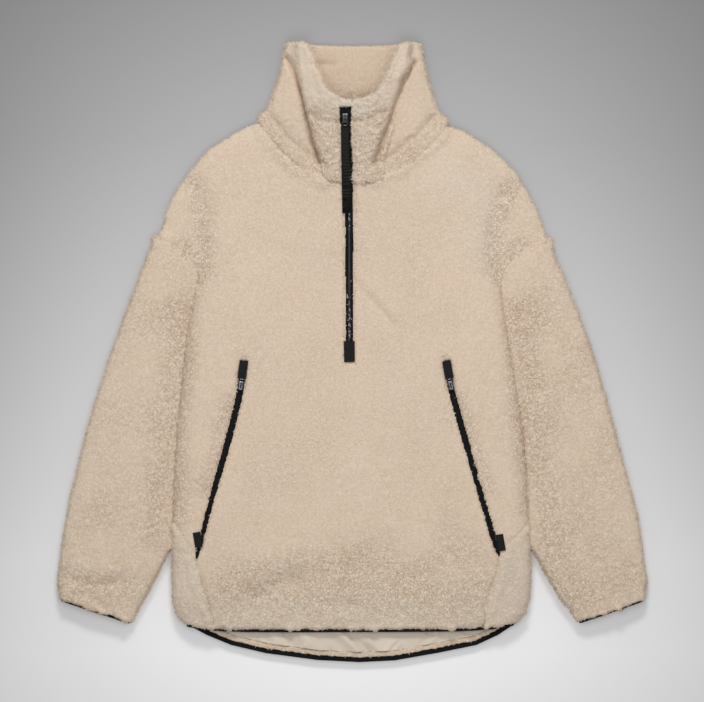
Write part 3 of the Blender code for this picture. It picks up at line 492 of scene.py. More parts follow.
def along_route(plan, route):
    """Distance in plan from each point to a route, in metres, and how far along it that is, 0 to 1."""
    corners = [np.array(corner) * MM for corner in route]
    lengths = [np.linalg.norm(end - start) for start, end in zip(corners, corners[1:])]
    nearest = np.full(len(plan), 1e9)
    along = np.zeros(len(plan))
    before = 0.0
    for start, end, length in zip(corners, corners[1:], lengths):
        run = end - start
        share = np.clip(((plan - start) @ run) / (run @ run), 0.0, 1.0)
        away = np.linalg.norm(plan - (start + share[:, None] * run), axis=1)
        along = np.where(away < nearest, (before + share * length) / sum(lengths), along)
        nearest = np.minimum(nearest, away)
        before += length
    return nearest, along


def nearness(points, route, reach):
    """1 on a route, falling softly towards 0 past a reach in millimetres."""
    away = along_route(points[:, :2], route)[0] / (reach * MM)
    return np.exp(-away * away)


def patchy(points, size, seed):
    """Smooth random values from 0 to 1 over the plan, in patches of a size in metres."""
    table = np.random.default_rng(seed).random((64, 64))
    spot = points[:, :2] / size
    cell = np.floor(spot).astype(int)
    share = spot - cell
    share = share * share * (3.0 - 2.0 * share)
    corner = [[table[(cell[:, 0] + dx) % 64, (cell[:, 1] + dy) % 64] for dy in (0, 1)] for dx in (0, 1)]
    low = corner[0][0] + (corner[1][0] - corner[0][0]) * share[:, 0]
    high = corner[0][1] + (corner[1][1] - corner[0][1]) * share[:, 0]
    return low + (high - low) * share[:, 1]


def fill(tree, node, inputs):
    """Give each named or numbered input of a node its value, or join it to a socket."""
    for key, value in inputs.items():
        if isinstance(value, bpy.types.NodeSocket):
            tree.links.new(value, node.inputs[key])
        else:
            node.inputs[key].default_value = value


def add(tree, kind, inputs=None, **settings):
    """A node with its settings and inputs."""
    node = tree.nodes.new(kind)
    for name, value in settings.items():
        setattr(node, name, value)
    fill(tree, node, inputs or {})
    return node


def maths(tree, operation, *values):
    """A maths node; each value may be a number or a socket."""
    return add(tree, "ShaderNodeMath", dict(enumerate(values)), operation=operation).outputs[0]


def times(tree, first, second):
    """The product of two values."""
    return maths(tree, "MULTIPLY", first, second)


def vector_maths(tree, operation, *values):
    """A vector maths node."""
    return add(tree, "ShaderNodeVectorMath", dict(enumerate(values)), operation=operation).outputs[0]


def noise(tree, scale, source, detail, distortion=0.0):
    """A noise node over a place."""
    inputs = {"Vector": source, "Scale": scale, "Detail": detail, "Distortion": distortion}
    return add(tree, "ShaderNodeTexNoise", inputs)


def new_group(kind, name, inputs, outputs):
    """A node group with its sockets as (label, type, value), as (tree, enter, leave)."""
    tree = bpy.data.node_groups.new(name, kind)
    for way, sockets in (("INPUT", inputs), ("OUTPUT", outputs)):
        for label, sort, value in sockets:
            socket = tree.interface.new_socket(label, in_out=way, socket_type="NodeSocket" + sort)
            if value is not None:
                socket.default_value = value
    return tree, tree.nodes.new("NodeGroupInput"), tree.nodes.new("NodeGroupOutput")


def new_tree(name, *numbers):
    """A Geometry Nodes tree with its own inputs, as (tree, its input sockets, leave)."""
    geometry = ("Geometry", "Geometry", None)
    kinds = {float: "Float", tuple: "Vector"}
    numbers = [(label, kinds[type(value)], value) for label, value in numbers]
    inputs = (geometry, *numbers, ("Material", "Material", None))
    tree, enter, leave = new_group("GeometryNodeTree", name, inputs, (geometry,))
    return tree, enter.outputs, leave


def finish_tree(tree, given, leave, source):
    """End a tree in Realize Instances and Set Material."""
    real = add(tree, "GeometryNodeRealizeInstances", {0: source})
    paint = {"Geometry": real.outputs[0], "Material": given["Material"]}
    fill(tree, leave, {0: add(tree, "GeometryNodeSetMaterial", paint).outputs[0]})
    return tree


def named_value(tree, name):
    """A float attribute read by its name."""
    node = add(tree, "GeometryNodeInputNamedAttribute", {"Name": name}, data_type="FLOAT")
    return node.outputs["Attribute"]


def pile_tree():
    """Geometry Nodes that raise curls of pile along the normals and keep their height."""
    tree, given, leave = new_tree(
        "curled_pile", ("Curl Size", 0.005), ("Depth", 0.002), ("Swell", 0.0005), ("Fringe", 0.02),
        ("Seed", 1.0))
    place = add(tree, "GeometryNodeInputPosition").outputs[0]
    normal = add(tree, "GeometryNodeInputNormal").outputs[0]
    density = maths(tree, "DIVIDE", 1.0, given["Curl Size"])

    drift = noise(tree, times(tree, density, 0.45), place, 1.0).outputs["Color"]
    reach = times(tree, given["Curl Size"], 1.6)
    size = add(tree, "ShaderNodeCombineXYZ", {0: reach, 1: reach, 2: reach}).outputs[0]
    offset = add(tree, "ShaderNodeCombineXYZ", {0: given["Seed"]}).outputs[0]
    spot = vector_maths(tree, "ADD", vector_maths(tree, "MULTIPLY", drift, size), place)
    spot = vector_maths(tree, "ADD", spot, offset)

    curls = add(tree, "ShaderNodeTexVoronoi", {"Smoothness": 0.25, "Vector": spot, "Scale": density},
                feature="SMOOTH_F1")
    clumps = noise(tree, times(tree, density, 0.5), spot, 2.0).outputs["Fac"]
    round_top = maths(tree, "MULTIPLY_ADD", curls.outputs["Distance"], -1.3, 1.15)
    height = maths(tree, "MULTIPLY_ADD", round_top, 0.8, -0.35)
    height = maths(tree, "MULTIPLY_ADD", clumps, 0.8, height)
    height = maths(tree, "MINIMUM", maths(tree, "MAXIMUM", height, 0.0), 1.0)

    curl = times(tree, named_value(tree, "curl"), named_value(tree, "pile_share"))
    rise = times(tree, maths(tree, "SUBTRACT", height, 0.85), given["Depth"])
    rise = times(tree, rise, curl)
    rise = maths(tree, "ADD", rise, times(tree, given["Swell"], named_value(tree, "pile_share")))
    fringe = maths(tree, "MAXIMUM", maths(tree, "SUBTRACT", clumps, 0.36), 0.0)
    fringe = times(tree, fringe, given["Fringe"])
    rise = maths(tree, "MULTIPLY_ADD", fringe, named_value(tree, "ragged"), rise)
    move = add(tree, "ShaderNodeVectorMath", {0: normal, "Scale": rise}, operation="SCALE")
    keep = add(tree, "GeometryNodeStoreNamedAttribute",
               {"Name": "pile", "Geometry": given["Geometry"], "Value": height},
               data_type="FLOAT", domain="POINT")
    lift = add(tree, "GeometryNodeSetPosition", {"Geometry": keep.outputs[0], "Offset": move.outputs[0]})
    return finish_tree(tree, given, leave, lift.outputs[0])


def tuft_tree():
    """Geometry Nodes that scatter loose pointed tufts where a surface's tuft value is high."""
    tree, given, leave = new_tree(
        "loose_tufts", ("Tufts", 0.0), ("Tuft Length", 0.003), ("Tuft Width", 0.0008))
    density = times(tree, given["Tufts"], named_value(tree, "tuft"))
    scatter = add(tree, "GeometryNodeDistributePointsOnFaces",
                  {"Mesh": given["Geometry"], "Density": density, "Seed": 3})
    cone = {"Vertices": 3, "Radius Top": 0.0}
    cone.update({"Radius Bottom": given["Tuft Width"], "Depth": given["Tuft Length"]})
    tuft = add(tree, "GeometryNodeMeshCone", cone, fill_type="NONE")
    size = add(tree, "FunctionNodeRandomValue", {2: 0.5, 3: 1.2})
    lean = add(tree, "FunctionNodeRandomValue", {0: (-0.8, -0.8, 0.0), 1: (0.8, 0.8, 6.2)},
               data_type="FLOAT_VECTOR")
    copies = add(tree, "GeometryNodeInstanceOnPoints", {
        "Points": scatter.outputs["Points"],
        "Instance": tuft.outputs["Mesh"],
        "Rotation": scatter.outputs["Rotation"],
        "Scale": size.outputs[1],
    })
    turn = add(tree, "GeometryNodeRotateInstances",
               {"Instances": copies.outputs[0], "Rotation": lean.outputs[0]})
    return finish_tree(tree, given, leave, turn.outputs[0])


def row_tree(name, step, shift):
    """Geometry Nodes that set small blocks square across a line, such as teeth or ribs."""
    tree, given, leave = new_tree(
        name, ("Step", step), ("Size", (0.002, 0.001, 0.001)), ("Shift", shift))
    to_curve = add(tree, "GeometryNodeMeshToCurve", {0: given["Geometry"]})
    joined = add(tree, "GeometryNodeJoinGeometry")
    for side in (-1.0, 1.0):
        trim = add(tree, "GeometryNodeTrimCurve", {"Curve": to_curve.outputs[0]}, mode="LENGTH")
        start, end = [
            [socket for socket in trim.inputs if socket.name == label and socket.enabled][-1]
            for label in ("Start", "End")
        ]
        tree.links.new(times(tree, given["Step"], 0.25 + 0.25 * side), start)
        end.default_value = 10.0
        steps = add(tree, "GeometryNodeResampleCurve",
                    {"Curve": trim.outputs[0], "Length": given["Step"]}, mode="LENGTH")
        block = add(tree, "GeometryNodeMeshCube", {"Size": given["Size"]})
        tangent = add(tree, "GeometryNodeInputTangent").outputs[0]
        turn = add(tree, "FunctionNodeAlignEulerToVector", {"Vector": tangent}, axis="Y", pivot_axis="Z")
        tilt = add(tree, "FunctionNodeAlignEulerToVector",
                   {"Rotation": turn.outputs[0], "Vector": tangent}, axis="Y", pivot_axis="AUTO")
        copies = add(tree, "GeometryNodeInstanceOnPoints", {
            "Points": steps.outputs[0],
            "Instance": block.outputs["Mesh"],
            "Rotation": tilt.outputs[0],
        })
        apart = add(tree, "ShaderNodeCombineXYZ", {0: times(tree, given["Shift"], side)})
        slide = add(tree, "GeometryNodeTranslateInstances",
                    {"Instances": copies.outputs[0], "Translation": apart.outputs[0]})
        fill(tree, joined, {0: slide.outputs[0]})
    return finish_tree(tree, given, leave, joined.outputs[0])


def add_nodes(thing, tree, values):
    """Put a Geometry Nodes tree on an object, its inputs set by their socket identifiers."""
    modifier = thing.modifiers.new(tree.name, "NODES")
    modifier.node_group = tree
    for item in tree.interface.items_tree:
        if item.item_type == "SOCKET" and item.in_out == "INPUT" and item.name in values:
            modifier[item.identifier] = values[item.name]
    settle(thing)


def refine_top(mesh):
    """Split each face that can be seen from above or from the side."""
    with reshaped(mesh) as shape:
        seen = [face for face in shape.faces if face.normal.z > -0.3]
        edges = {edge for face in seen for edge in face.edges}
        bmesh.ops.subdivide_edges(shape, edges=list(edges), cuts=1, use_grid_fill=True)


def smooth_thing(thing, rounds):
    """Take the facets off a mesh."""
    soften = thing.modifiers.new("soften", "SMOOTH")
    soften.factor = 0.5
    soften.iterations = rounds
    settle(thing)


def fold_cloth(name, points, normals, seed):
    """Press the listed folds of one piece into its upper side."""
    upper = np.clip(normals[:, 2] * 2.0, 0.0, 1.0)
    for index, fold in enumerate(records(CREASE_COLUMNS, CREASES.get(name, ()))):
        vary = 1.0 + fold["uneven"] * (2.0 * patchy(points, 0.009, 10 * seed + index) - 1.0)
        near = nearness(points, fold["route"], fold["width"])
        points[:, 2] -= fold["depth"] * MM * vary * near * upper


def draw_seams(name, points, normals):
    """Draw the edges of one piece along its seams into the neighbour."""
    plan = points[:, :2].copy()
    slant = np.linalg.norm(normals[:, :2], axis=1)
    level = normals[:, :2] / np.maximum(slant, 1e-6)[:, None]
    facing = np.clip(slant * 1.5 - 0.3, 0.0, 1.0)
    for seam in records(SEAM_COLUMNS, SEAMS.get(name, ())):
        near = nearness(plan, seam["route"], seam["reach"])
        points[:, :2] += level * (seam["push"] * MM * facing * near)[:, None]


def open_channels(name, points, normals, share):
    """Press the pile down over each zip of one piece, to leave its tape open."""
    plan = points[:, :2].copy()
    tufts = np.zeros(len(points))
    for channel in records(CHANNEL_COLUMNS, CHANNELS.get(name, ())):
        surface = tree_of(channel["tape"])
        away, along = along_route(plan, channel["line"])
        half = np.interp(along, *zip(*channel["opening"])) * MM
        half += CHANNEL_RAGGED * MM * (2.0 * patchy(plan, 0.0045, 17) - 1.0)
        for index in np.flatnonzero((away < half) & (normals[:, 2] > -0.3)):
            hit = surface.ray_cast(Vector((*plan[index], 1.0)), DOWN)[0]
            if hit is not None and points[index, 2] >= hit.z - CHANNEL_REACH * MM:
                points[index, 2] = min(points[index, 2], hit.z - CHANNEL_DEPTH * MM)
        share *= np.where(away < half + CHANNEL_SMOOTH * MM, 0.35, 1.0)
        first, last = (half + limit * MM for limit in CHANNEL_TUFTS)
        tufts = np.maximum(tufts, (away > first) & (away < last))
    return tufts


def tone_share(name, points):
    """Where one piece is drawn paler and greyer, or warmer and darker as painted shade."""
    share = np.zeros(len(points))
    for zone in records(TONE_COLUMNS, TONES.get(name, ())):
        level = (points[:, 2] > zone["low"] * MM) & (points[:, 2] < zone["high"] * MM)
        share += zone["amount"] * nearness(points, zone["route"], zone["reach"]) * level
    return np.clip(share, -1.0, 1.0)


def shade_share(name, points):
    """Painted shade: how dark the pile is drawn down in the narrow folds of one piece."""
    share = np.zeros(len(points))
    for fold in records(CREASE_COLUMNS, CREASES.get(name, ())):
        if fold["depth"] > 0.0 and fold["width"] < 8.0:
            near = nearness(points, fold["route"], 0.6 * fold["width"])
            share = np.maximum(share, min(fold["depth"] / 8.0, 1.0) * near)
    return share


def curl_share(name, points, seed):
    """How curly the pile is at each point, from 0 to 1."""
    share = CURL_BASE + CURL_UNEVEN * (patchy(points, 0.045, 70 + seed) - 0.5)
    for zone in records(CURL_COLUMNS, CURLS.get(name, ())):
        share += zone["amount"] * nearness(points, zone["route"], zone["reach"])
    return np.clip(share, 0.0, 1.0)


def fringe_share(name, points, normals):
    """How much the pile of one piece hangs over its edge at each point."""
    share = np.zeros(len(points))
    vary = np.clip(1.8 * patchy(points, 0.011, 31) - 0.1, 0.0, 1.4)
    for edge in records(FRINGE_COLUMNS, FRINGES.get(name, ())):
        facing = np.clip(normals[:, :2] @ np.array(edge["hang"]) * 1.4, 0.0, 1.0)
        near = nearness(points, edge["route"], edge["reach"])
        share = np.maximum(share, edge["amount"] * vary * facing * near)
    level = np.clip(np.linalg.norm(normals[:, :2], axis=1) * 2.0 - 1.0, 0.0, 1.0)
    return np.maximum(share, EDGE_RAGGED * level * (points[:, 2] > 2.0 * MM))


def make_tufts(fleece, tree, material, density):
    """Loose tufts along the edges of one fleece piece."""
    thing = new_object(fleece.name.replace("fleece", "tufts"), fleece.data.copy())
    add_nodes(thing, tree, {
        "Tufts": density * 10000.0,
        "Tuft Length": TUFT_LENGTH * MM,
        "Tuft Width": TUFT_WIDTH * MM,
        "Material": material,
    })
    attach(thing, GARMENT)


def make_fleece(record, trees, material, seed):
    """One fleece piece: its solid remeshed, softened, folded and given its pile."""
    name = record["name"]
    thing = node_copy(name, record["node"])
    if record["passage"]:
        widen_passage(thing.data, record["passage"] * MM)
    even = thing.modifiers.new("even", "REMESH")
    even.mode = "VOXEL"
    even.voxel_size = record["voxel"] * MM
    smooth_thing(thing, record["softening"])
    if record["refine"]:
        refine_top(thing.data)
        smooth_thing(thing, 2)
    mesh = thing.data
    points = points_of(mesh)
    normals = normals_of(mesh)
    fold_cloth(name, points, normals, seed)
    draw_seams(name, points, normals)
    share = np.where(normals[:, 2] < -0.4, 0.25, 1.0)
    share[points[:, 2] < 1.5 * MM] = 0.0
    tufts = open_channels(name, points, normals, share)
    put_points(mesh, points)
    edge = np.clip(2.0 * np.linalg.norm(normals[:, :2], axis=1) - 1.1, 0.0, 1.0)
    tufts = np.maximum(tufts, edge * (points[:, 2] > 2.0 * MM) * (normals[:, 2] > -0.5))
    store(mesh, "tuft", tufts)
    store(mesh, "tone", tone_share(name, points))
    store(mesh, "shade", shade_share(name, points))
    store(mesh, "pile_share", share)
    store(mesh, "curl", curl_share(name, points, seed))
    store(mesh, "ragged", fringe_share(name, points, normals))
    add_nodes(thing, trees["pile"], {
        "Curl Size": record["curl"] * MM,
        "Depth": record["depth"] * MM,
        "Swell": record["swell"] * MM,
        "Seed": float(seed),
        "Material": material,
    })
    points = points_of(thing.data)
    points[:, 2] = np.maximum(points[:, 2], 0.0)
    put_points(thing.data, points)
    thing.data.shade_smooth()
    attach(thing, GARMENT)
    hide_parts(record["node"])
    make_tufts(thing, trees["tufts"], material, record["tufts"])


def line_on(name, node, line, first, last, lift):
    """A polyline mesh over a CAD piece, along a share of a plan line."""
    surface = tree_of(node)
    corners = [Vector(corner) * MM for corner in line]
    lengths = [0.0]
    for start, end in zip(corners, corners[1:]):
        lengths.append(lengths[-1] + (end - start).length)
    count = max(int(lengths[-1] * (last - first) / (4.0 * MM)), 2)
    spots = []
    for step in range(count + 1):
        target = lengths[-1] * (first + (last - first) * step / count)
        index = max(i for i in range(len(corners) - 1) if lengths[i] <= target + 1e-9)
        share = (target - lengths[index]) / (lengths[index + 1] - lengths[index])
        spot = corners[index].lerp(corners[index + 1], share)
        hit = surface.ray_cast(Vector((*spot, 1.0)), DOWN)[0]
        if hit is not None:
            spots.append((*spot, hit.z + lift * MM))
    mesh = bpy.data.meshes.new(name)
    mesh.from_pydata(spots, [(i, i + 1) for i in range(len(spots) - 1)], [])
    return new_object(name, mesh)


def set_row(thing, tree, step, size, shift, material):
    """Set a row of blocks along a line, its sizes in millimetres."""
    add_nodes(thing, tree, {
        "Step": step * MM,
        "Size": tuple(side * MM for side in size),
        "Shift": shift * MM,
        "Material": material,
    })


def make_rows(teeth, ribs, tooth_materials, rib_material):
    """Teeth on the three zips and ribs on the webbing pull."""
    for record in records(TEETH_COLUMNS, TEETH):
        finish = record.pop("finish")
        thing = line_on(**record, lift=0.5 * TOOTH_SIZE[2])
        set_row(thing, teeth, TOOTH_STEP, TOOTH_SIZE, TOOTH_SHIFT, tooth_materials[finish])
        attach(thing, GARMENT)
    thing = line_on("half_zip_webbing_ribs", "half_zip_webbing", WEBBING_LINE, 0.01, 0.99, RIB_LIFT)
    set_row(thing, ribs, RIB_STEP, RIB_SIZE, 0.0, rib_material)
    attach(thing, "half_zip_pull")


def make_lining(material):
    """The lining that shows under the front hem, with its wrinkles."""
    thing = node_copy("lining_sheet", "back_lining")
    mesh = thing.data
    points = points_of(mesh)
    low = points.min(axis=0)
    high = points.max(axis=0)
    with reshaped(mesh) as shape:
        for axis in range(2):
            count = int((high[axis] - low[axis]) / (LINING_GRAIN * MM))
            for step in range(1, count):
                spot = Vector(low)
                spot[axis] += (high[axis] - low[axis]) * step / count
                facing = Vector((0.0, 0.0, 0.0))
                facing[axis] = 1.0
                everything = shape.verts[:] + shape.edges[:] + shape.faces[:]
                bmesh.ops.bisect_plane(shape, geom=everything, plane_co=spot, plane_no=facing)
    points = points_of(mesh)
    free = np.clip((FRONT_HEM * MM - points[:, 1]) / 0.01, 0.0, 1.0)
    for width, height, route in WRINKLES:
        points[:, 2] += height * MM * nearness(points, route, width) * free
    points[:, 2] += LINING_WAVE * MM * patchy(points, 0.022, 5) * free
    put_points(mesh, points)
    mesh.materials.append(material)
    mesh.shade_smooth()
    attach(thing, GARMENT)
    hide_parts("back_lining")


def new_material(name):
    """A node material with its tree, its shader and its object coordinates."""
    material = bpy.data.materials.new(name)
    material.use_nodes = True
    tree = material.node_tree
    where = add(tree, "ShaderNodeTexCoord").outputs["Object"]
    return material, tree, tree.nodes["Principled BSDF"], where


def mix_colour(tree, factor, first, second):
    """Blend two colours; each may be a socket or a plain colour."""
    colours = [(*value, 1.0) if isinstance(value, tuple) else value for value in (first, second)]
    inputs = {"Factor": factor, 6: colours[0], 7: colours[1]}
    return add(tree, "ShaderNodeMix", inputs, data_type="RGBA").outputs[2]


def ramp(tree, source, low, high):
    """A soft ramp from 0 at low to 1 at high."""
    inputs = {"From Min": low, "From Max": high, "Value": source}
    return add(tree, "ShaderNodeMapRange", inputs, interpolation_type="SMOOTHSTEP").outputs["Result"]


def bump(tree, height, distance, strength, below=None):
    """A bump from a height, on top of another one."""
    inputs = {"Distance": distance, "Strength": strength, "Height": height}
    if below is not None:
        inputs["Normal"] = below
    return add(tree, "ShaderNodeBump", inputs).outputs["Normal"]


def attribute(tree, name):
    """A value kept on the mesh."""
    return add(tree, "ShaderNodeAttribute", attribute_name=name).outputs["Fac"]


def grain_group():
    """The shared grain: bands and fine grain over object coordinates, as a shade and a normal."""
    inputs = (("Vector", "Vector", None), ("Band Scale", "Float", 700.0), ("Band Share", "Float", 0.5),
              ("Grain Scale", "Float", 500.0), ("Relief", "Float", 0.4))
    outputs = (("Shade", "Float", None), ("Normal", "Vector", None))
    tree, enter, leave = new_group("ShaderNodeTree", "surface_grain", inputs, outputs)
    given = enter.outputs
    bands = add(tree, "ShaderNodeTexWave", {"Vector": given["Vector"], "Scale": given["Band Scale"]},
                bands_direction="Y")
    fine = ramp(tree, noise(tree, given["Grain Scale"], given["Vector"], 2.0).outputs["Fac"], 0.35, 0.7)
    difference = maths(tree, "SUBTRACT", bands.outputs["Fac"], fine)
    shade = maths(tree, "MULTIPLY_ADD", difference, given["Band Share"], fine)
    fill(tree, leave, {"Shade": shade, "Normal": bump(tree, shade, 0.0002, given["Relief"])})
    return tree


def grained_material(grain, name, values, dark, light, looks):
    """A material of two colours with the shared grain."""
    material, tree, shader, where = new_material(name)
    labels = ("Band Scale", "Band Share", "Grain Scale", "Relief")
    inputs = {"Vector": where, **dict(zip(labels, values))}
    node = add(tree, "ShaderNodeGroup", inputs, node_tree=grain)
    colour = mix_colour(tree, node.outputs["Shade"], dark, light)
    fill(tree, shader, {"Base Color": colour, "Normal": node.outputs["Normal"], **looks})
    return material


def black_material(grain, name, bands, light, roughness):
    """Matt black woven tape."""
    looks = {"Roughness": roughness, "Specular IOR Level": 0.14}
    return grained_material(grain, name, (bands, 0.6, 500.0, 0.5), (0.003, 0.003, 0.003), light, looks)


def fleece_material():
    """Cream pile: fine warm streaks, painted shade in the hollows and cracks between the curls, in warm
    zones and in folds, and a painted sheen at grazing angles.
    """
    material, tree, shader, where = new_material("sherpa_fleece")
    bend = noise(tree, 130.0, where, 2.0).outputs["Color"]
    bent = vector_maths(tree, "MULTIPLY", bend, (0.006, 0.006, 0.006))
    bent = vector_maths(tree, "ADD", bent, where)
    cells = {"Vector": bent, "Scale": 250.0}
    curls = add(tree, "ShaderNodeTexVoronoi", cells)
    cracks = add(tree, "ShaderNodeTexVoronoi", cells, feature="DISTANCE_TO_EDGE")
    partings = noise(tree, 190.0, bent, 1.0, 0.6).outputs["Fac"]
    streaks = noise(tree, 340.0, bent, 2.0, 0.8).outputs["Fac"]
    fibres = noise(tree, 1100.0, where, 3.0, 1.0).outputs["Fac"]
    patches = noise(tree, 20.0, where, 3.0).outputs["Fac"]
    curly = ramp(tree, attribute(tree, "curl"), 0.1, 1.0)
    tone = attribute(tree, "tone")

    # Painted shade: darker low in the pile and in the cracks and partings between the curls; the cracks
    # also shape the bump
    hollow = maths(tree, "SUBTRACT", 1.0, ramp(tree, attribute(tree, "pile"), 0.0, 0.75))
    crack = maths(tree, "SUBTRACT", 1.0, ramp(tree, cracks.outputs["Distance"], 0.0, 0.17))
    parting = maths(tree, "ABSOLUTE", maths(tree, "SUBTRACT", partings, 0.5))
    parting = maths(tree, "SUBTRACT", 1.0, ramp(tree, parting, 0.01, 0.058))
    crack = maths(tree, "MAXIMUM", times(tree, crack, 0.5), parting)
    crack = times(tree, crack, maths(tree, "MULTIPLY_ADD", curly, 0.78, 0.14))
    weight = add(tree, "ShaderNodeLayerWeight")
    layers = (
        (curly, 0.55, CURL_TOP),
        (times(tree, hollow, curly), 0.28, CURL_HOLLOW_SHADE),
        (crack, 1.0, CURL_PARTING_SHADE),
        (ramp(tree, patches, 0.35, 0.7), 0.14, SOFT_PATCH),
        (maths(tree, "MAXIMUM", tone, 0.0), 0.55, PALE_ZONE),
        # Painted shade: the warm dark zones
        (maths(tree, "MAXIMUM", times(tree, tone, -1.0), 0.0), 0.4, WARM_PAINTED_SHADE),
        # Painted shade in the narrow folds
        (attribute(tree, "shade"), 0.7, FOLD_SHADE),
        # Painted sheen: paler colour where the pile is seen at a grazing angle
        (ramp(tree, weight.outputs["Facing"], 0.45, 0.95), 0.75, PAINTED_RIM_SHEEN),
    )
    base = mix_colour(tree, ramp(tree, streaks, 0.36, 0.60), HAIR_DARK, HAIR_LIGHT)
    for share, strength, colour in layers:
        base = mix_colour(tree, times(tree, share, strength), base, colour)

    dome = maths(tree, "SUBTRACT", 1.0, curls.outputs["Distance"])
    dome = times(tree, dome, maths(tree, "MULTIPLY_ADD", curly, 0.6, 0.15))
    relief = bump(tree, maths(tree, "SUBTRACT", dome, crack), 0.0009, 0.6)
    relief = bump(tree, streaks, 0.0010, 0.35, relief)
    relief = bump(tree, fibres, 0.0004, 0.4, relief)
    fill(tree, shader, {
        "Base Color": base,
        "Normal": relief,
        "Roughness": 1.0,
        "Specular IOR Level": 0.05,
        "Sheen Weight": 0.14,
        "Sheen Roughness": 0.7,
        "Sheen Tint": (1.0, 0.93, 0.84, 1.0),
    })
    return material


def tooth_material():
    """Black teeth, a few of them drawn bright in sparse spots as painted glints."""
    material, tree, shader, where = new_material("zip_tooth")
    # Painted glints: bright base colour in sparse spots along the teeth
    spots = ramp(tree, noise(tree, 260.0, where, 1.0).outputs["Fac"], 0.52, 0.62)
    zones = ramp(tree, noise(tree, 26.0, where, 1.0).outputs["Fac"], 0.45, 0.6)
    colour = mix_colour(tree, times(tree, spots, zones), (0.012, 0.012, 0.012), (0.42, 0.43, 0.42))
    fill(tree, shader, {"Base Color": colour, "Roughness": 0.4})
    return material


def floor_material():
    """A pale floor, its painted light falling off towards the top and sides of the picture, with a
    painted glow.
    """
    material, tree, shader, where = new_material("studio_floor")
    split = add(tree, "ShaderNodeSeparateXYZ", {0: where})
    down = add(tree, "ShaderNodeMapRange",
               {"From Min": FLOOR_TOP, "From Max": FLOOR_BOTTOM, "Value": split.outputs["Y"]})
    down = down.outputs["Result"]
    # Painted light falloff from the picture's top to its bottom, and towards the sides below
    painted_falloff = add(tree, "ShaderNodeValToRGB", {"Fac": down})
    stops = painted_falloff.color_ramp.elements
    for place, _ in FLOOR_PAINTED_FALLOFF[1:-1]:
        stops.new(place)
    for stop, (place, level) in zip(stops, FLOOR_PAINTED_FALLOFF):
        stop.position = place
        stop.color = (level, level, 1.01 * level, 1.0)
    side = maths(tree, "DIVIDE", maths(tree, "ABSOLUTE", split.outputs["X"]), FLOOR_HALF_WIDTH)
    side = maths(tree, "POWER", side, FLOOR_SIDE_POWER)
    apart = maths(tree, "SUBTRACT", down, FLOOR_BRIGHT_SHARE)
    fall = maths(tree, "MULTIPLY_ADD", times(tree, apart, apart), FLOOR_FALL_CHANGE, FLOOR_SIDE_FALL)
    keep = maths(tree, "SUBTRACT", 1.0, times(tree, side, fall))
    keep = maths(tree, "MAXIMUM", keep, 0.5)
    shade = mix_colour(tree, keep, (0.0, 0.0, 0.0), painted_falloff.outputs["Color"])
    fill(tree, shader, {
        "Base Color": shade,
        # Painted glow: the floor emits its own colour
        "Emission Color": shade,
        "Emission Strength": FLOOR_GLOW,
        "Roughness": 1.0,
        "Specular IOR Level": 0.0,
    })
    return material


def declare_sheets():
    """Gather the CAD pieces sewn to each cloth piece, with its tufts; the lists are not used."""
    for sheet in records(SHEET_COLUMNS, SHEETS):
        sewn = [frame["nodes"][node] for node in sheet["sewn"]]
        if sheet["piece"] != "lining_sheet":
            sewn.append(bpy.data.objects[sheet["piece"].replace("fleece", "tufts")])


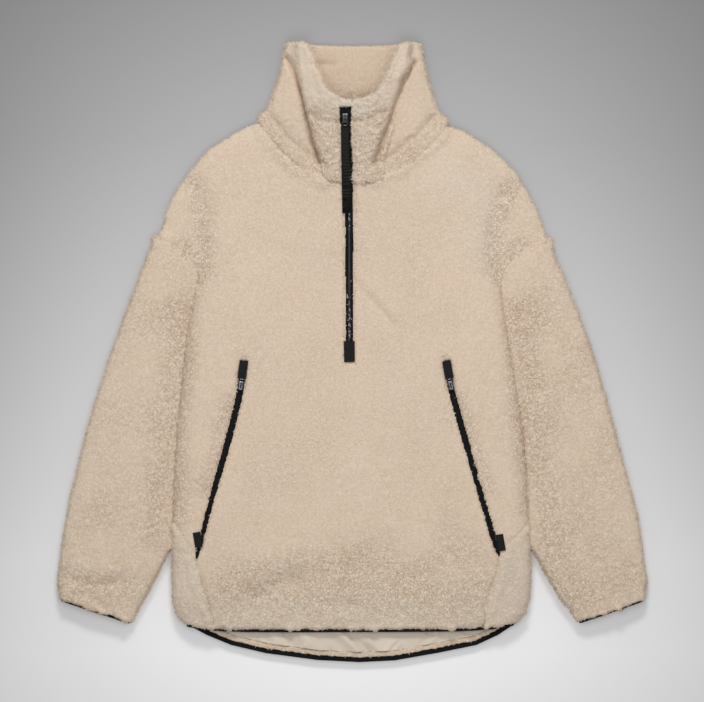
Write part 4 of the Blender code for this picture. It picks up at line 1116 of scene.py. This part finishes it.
def build_stage():
    """The floor, the lights and the camera straight above."""
    mesh = bpy.data.meshes.new("floor")
    with reshaped(mesh) as shape:
        bmesh.ops.create_grid(shape, x_segments=1, y_segments=1, size=3.0)
    floor = new_object("floor", mesh)
    floor.location.z = -0.3 * MM
    mesh.materials.append(floor_material())

    for name, spot, size, power in LIGHTS:
        lamp = bpy.data.lights.new(name, "AREA")
        lamp.shape = "RECTANGLE"
        lamp.size, lamp.size_y = size
        lamp.energy = power
        thing = new_object(name, lamp)
        thing.location = spot
        aim = Vector((0.0, min(spot[1], 0.0), 0.0)) - Vector(spot)
        thing.rotation_euler = aim.to_track_quat("-Z", "Y").to_euler()

    scene = bpy.context.scene
    scene.world = bpy.data.worlds.new("studio")
    scene.world.use_nodes = True
    sky = scene.world.node_tree
    fill(sky, sky.nodes["Background"], {"Color": (1.0, 1.0, 1.0, 1.0), "Strength": WORLD_LIGHT})
    scene.view_settings.view_transform = "Standard"

    lens = bpy.data.cameras.new("camera")
    lens.sensor_fit = "HORIZONTAL"
    lens.sensor_width = SENSOR
    lens.lens = SENSOR * CAMERA_HEIGHT / (FRAME_WIDTH * PIXEL)
    lens.clip_end = 20.0
    camera = new_object("camera", lens)
    x = (0.5 * FRAME_WIDTH - MIDDLE_PIXEL[0]) * PIXEL
    y = (MIDDLE_PIXEL[1] - 0.5 * FRAME_HEIGHT) * PIXEL
    camera.location = (x, y, CAMERA_HEIGHT)
    scene.camera = camera


def main():
    """Build the stage and every piece."""
    build_stage()
    grain = grain_group()
    fleece = fleece_material()
    lining = grained_material(
        grain, "lining_satin", (900.0, 0.3, 30.0, 0.1), (0.64, 0.545, 0.432), (0.725, 0.623, 0.506),
        {"Roughness": 0.45, "Sheen Weight": 0.1})
    tape = black_material(grain, "black_woven_tape", 700.0, (0.011, 0.011, 0.011), 0.85)
    webbing = black_material(grain, "black_webbing", 300.0, (0.006, 0.006, 0.006), 0.8)
    # Painted light: the raised ribs of the webbing drawn lighter than the webbing between them
    rib = black_material(grain, "black_webbing_rib", 900.0, (0.030, 0.030, 0.031), 0.7)
    tab = black_material(grain, "black_matt_tab", 200.0, (0.014, 0.014, 0.014), 0.6)
    metal = grained_material(
        grain, "gunmetal", (60.0, 0.1, 400.0, 0.05), (0.05, 0.05, 0.056), (0.12, 0.12, 0.13),
        {"Metallic": 1.0, "Roughness": 0.3})
    tooth = tooth_material()
    trees = {"pile": pile_tree(), "tufts": tuft_tree()}
    teeth = row_tree("zip_teeth", 0.0015, 0.001)
    ribs = row_tree("webbing_ribs", 0.0036, 0.0)
    for seed, record in enumerate(records(FLEECE_COLUMNS, FLEECE_PIECES)):
        make_fleece(record, trees, fleece, seed)
    make_lining(lining)
    make_rows(teeth, ribs, {"worn": tooth, "plain": tab}, rib)
    finishes = {"fleece": fleece, "lining": lining, "black_tape": tape, "gunmetal": metal}
    slots = {item["node"]: item["material_slot"] for item in frame["record"]["subparts"]}
    for node, thing in frame["nodes"].items():
        finish = finishes[slots[node]]
        if node.endswith("_tab"):
            finish = tab
        if node == "half_zip_webbing":
            finish = webbing
        thing.data.materials.clear()
        thing.data.materials.append(finish)
    declare_sheets()


main()
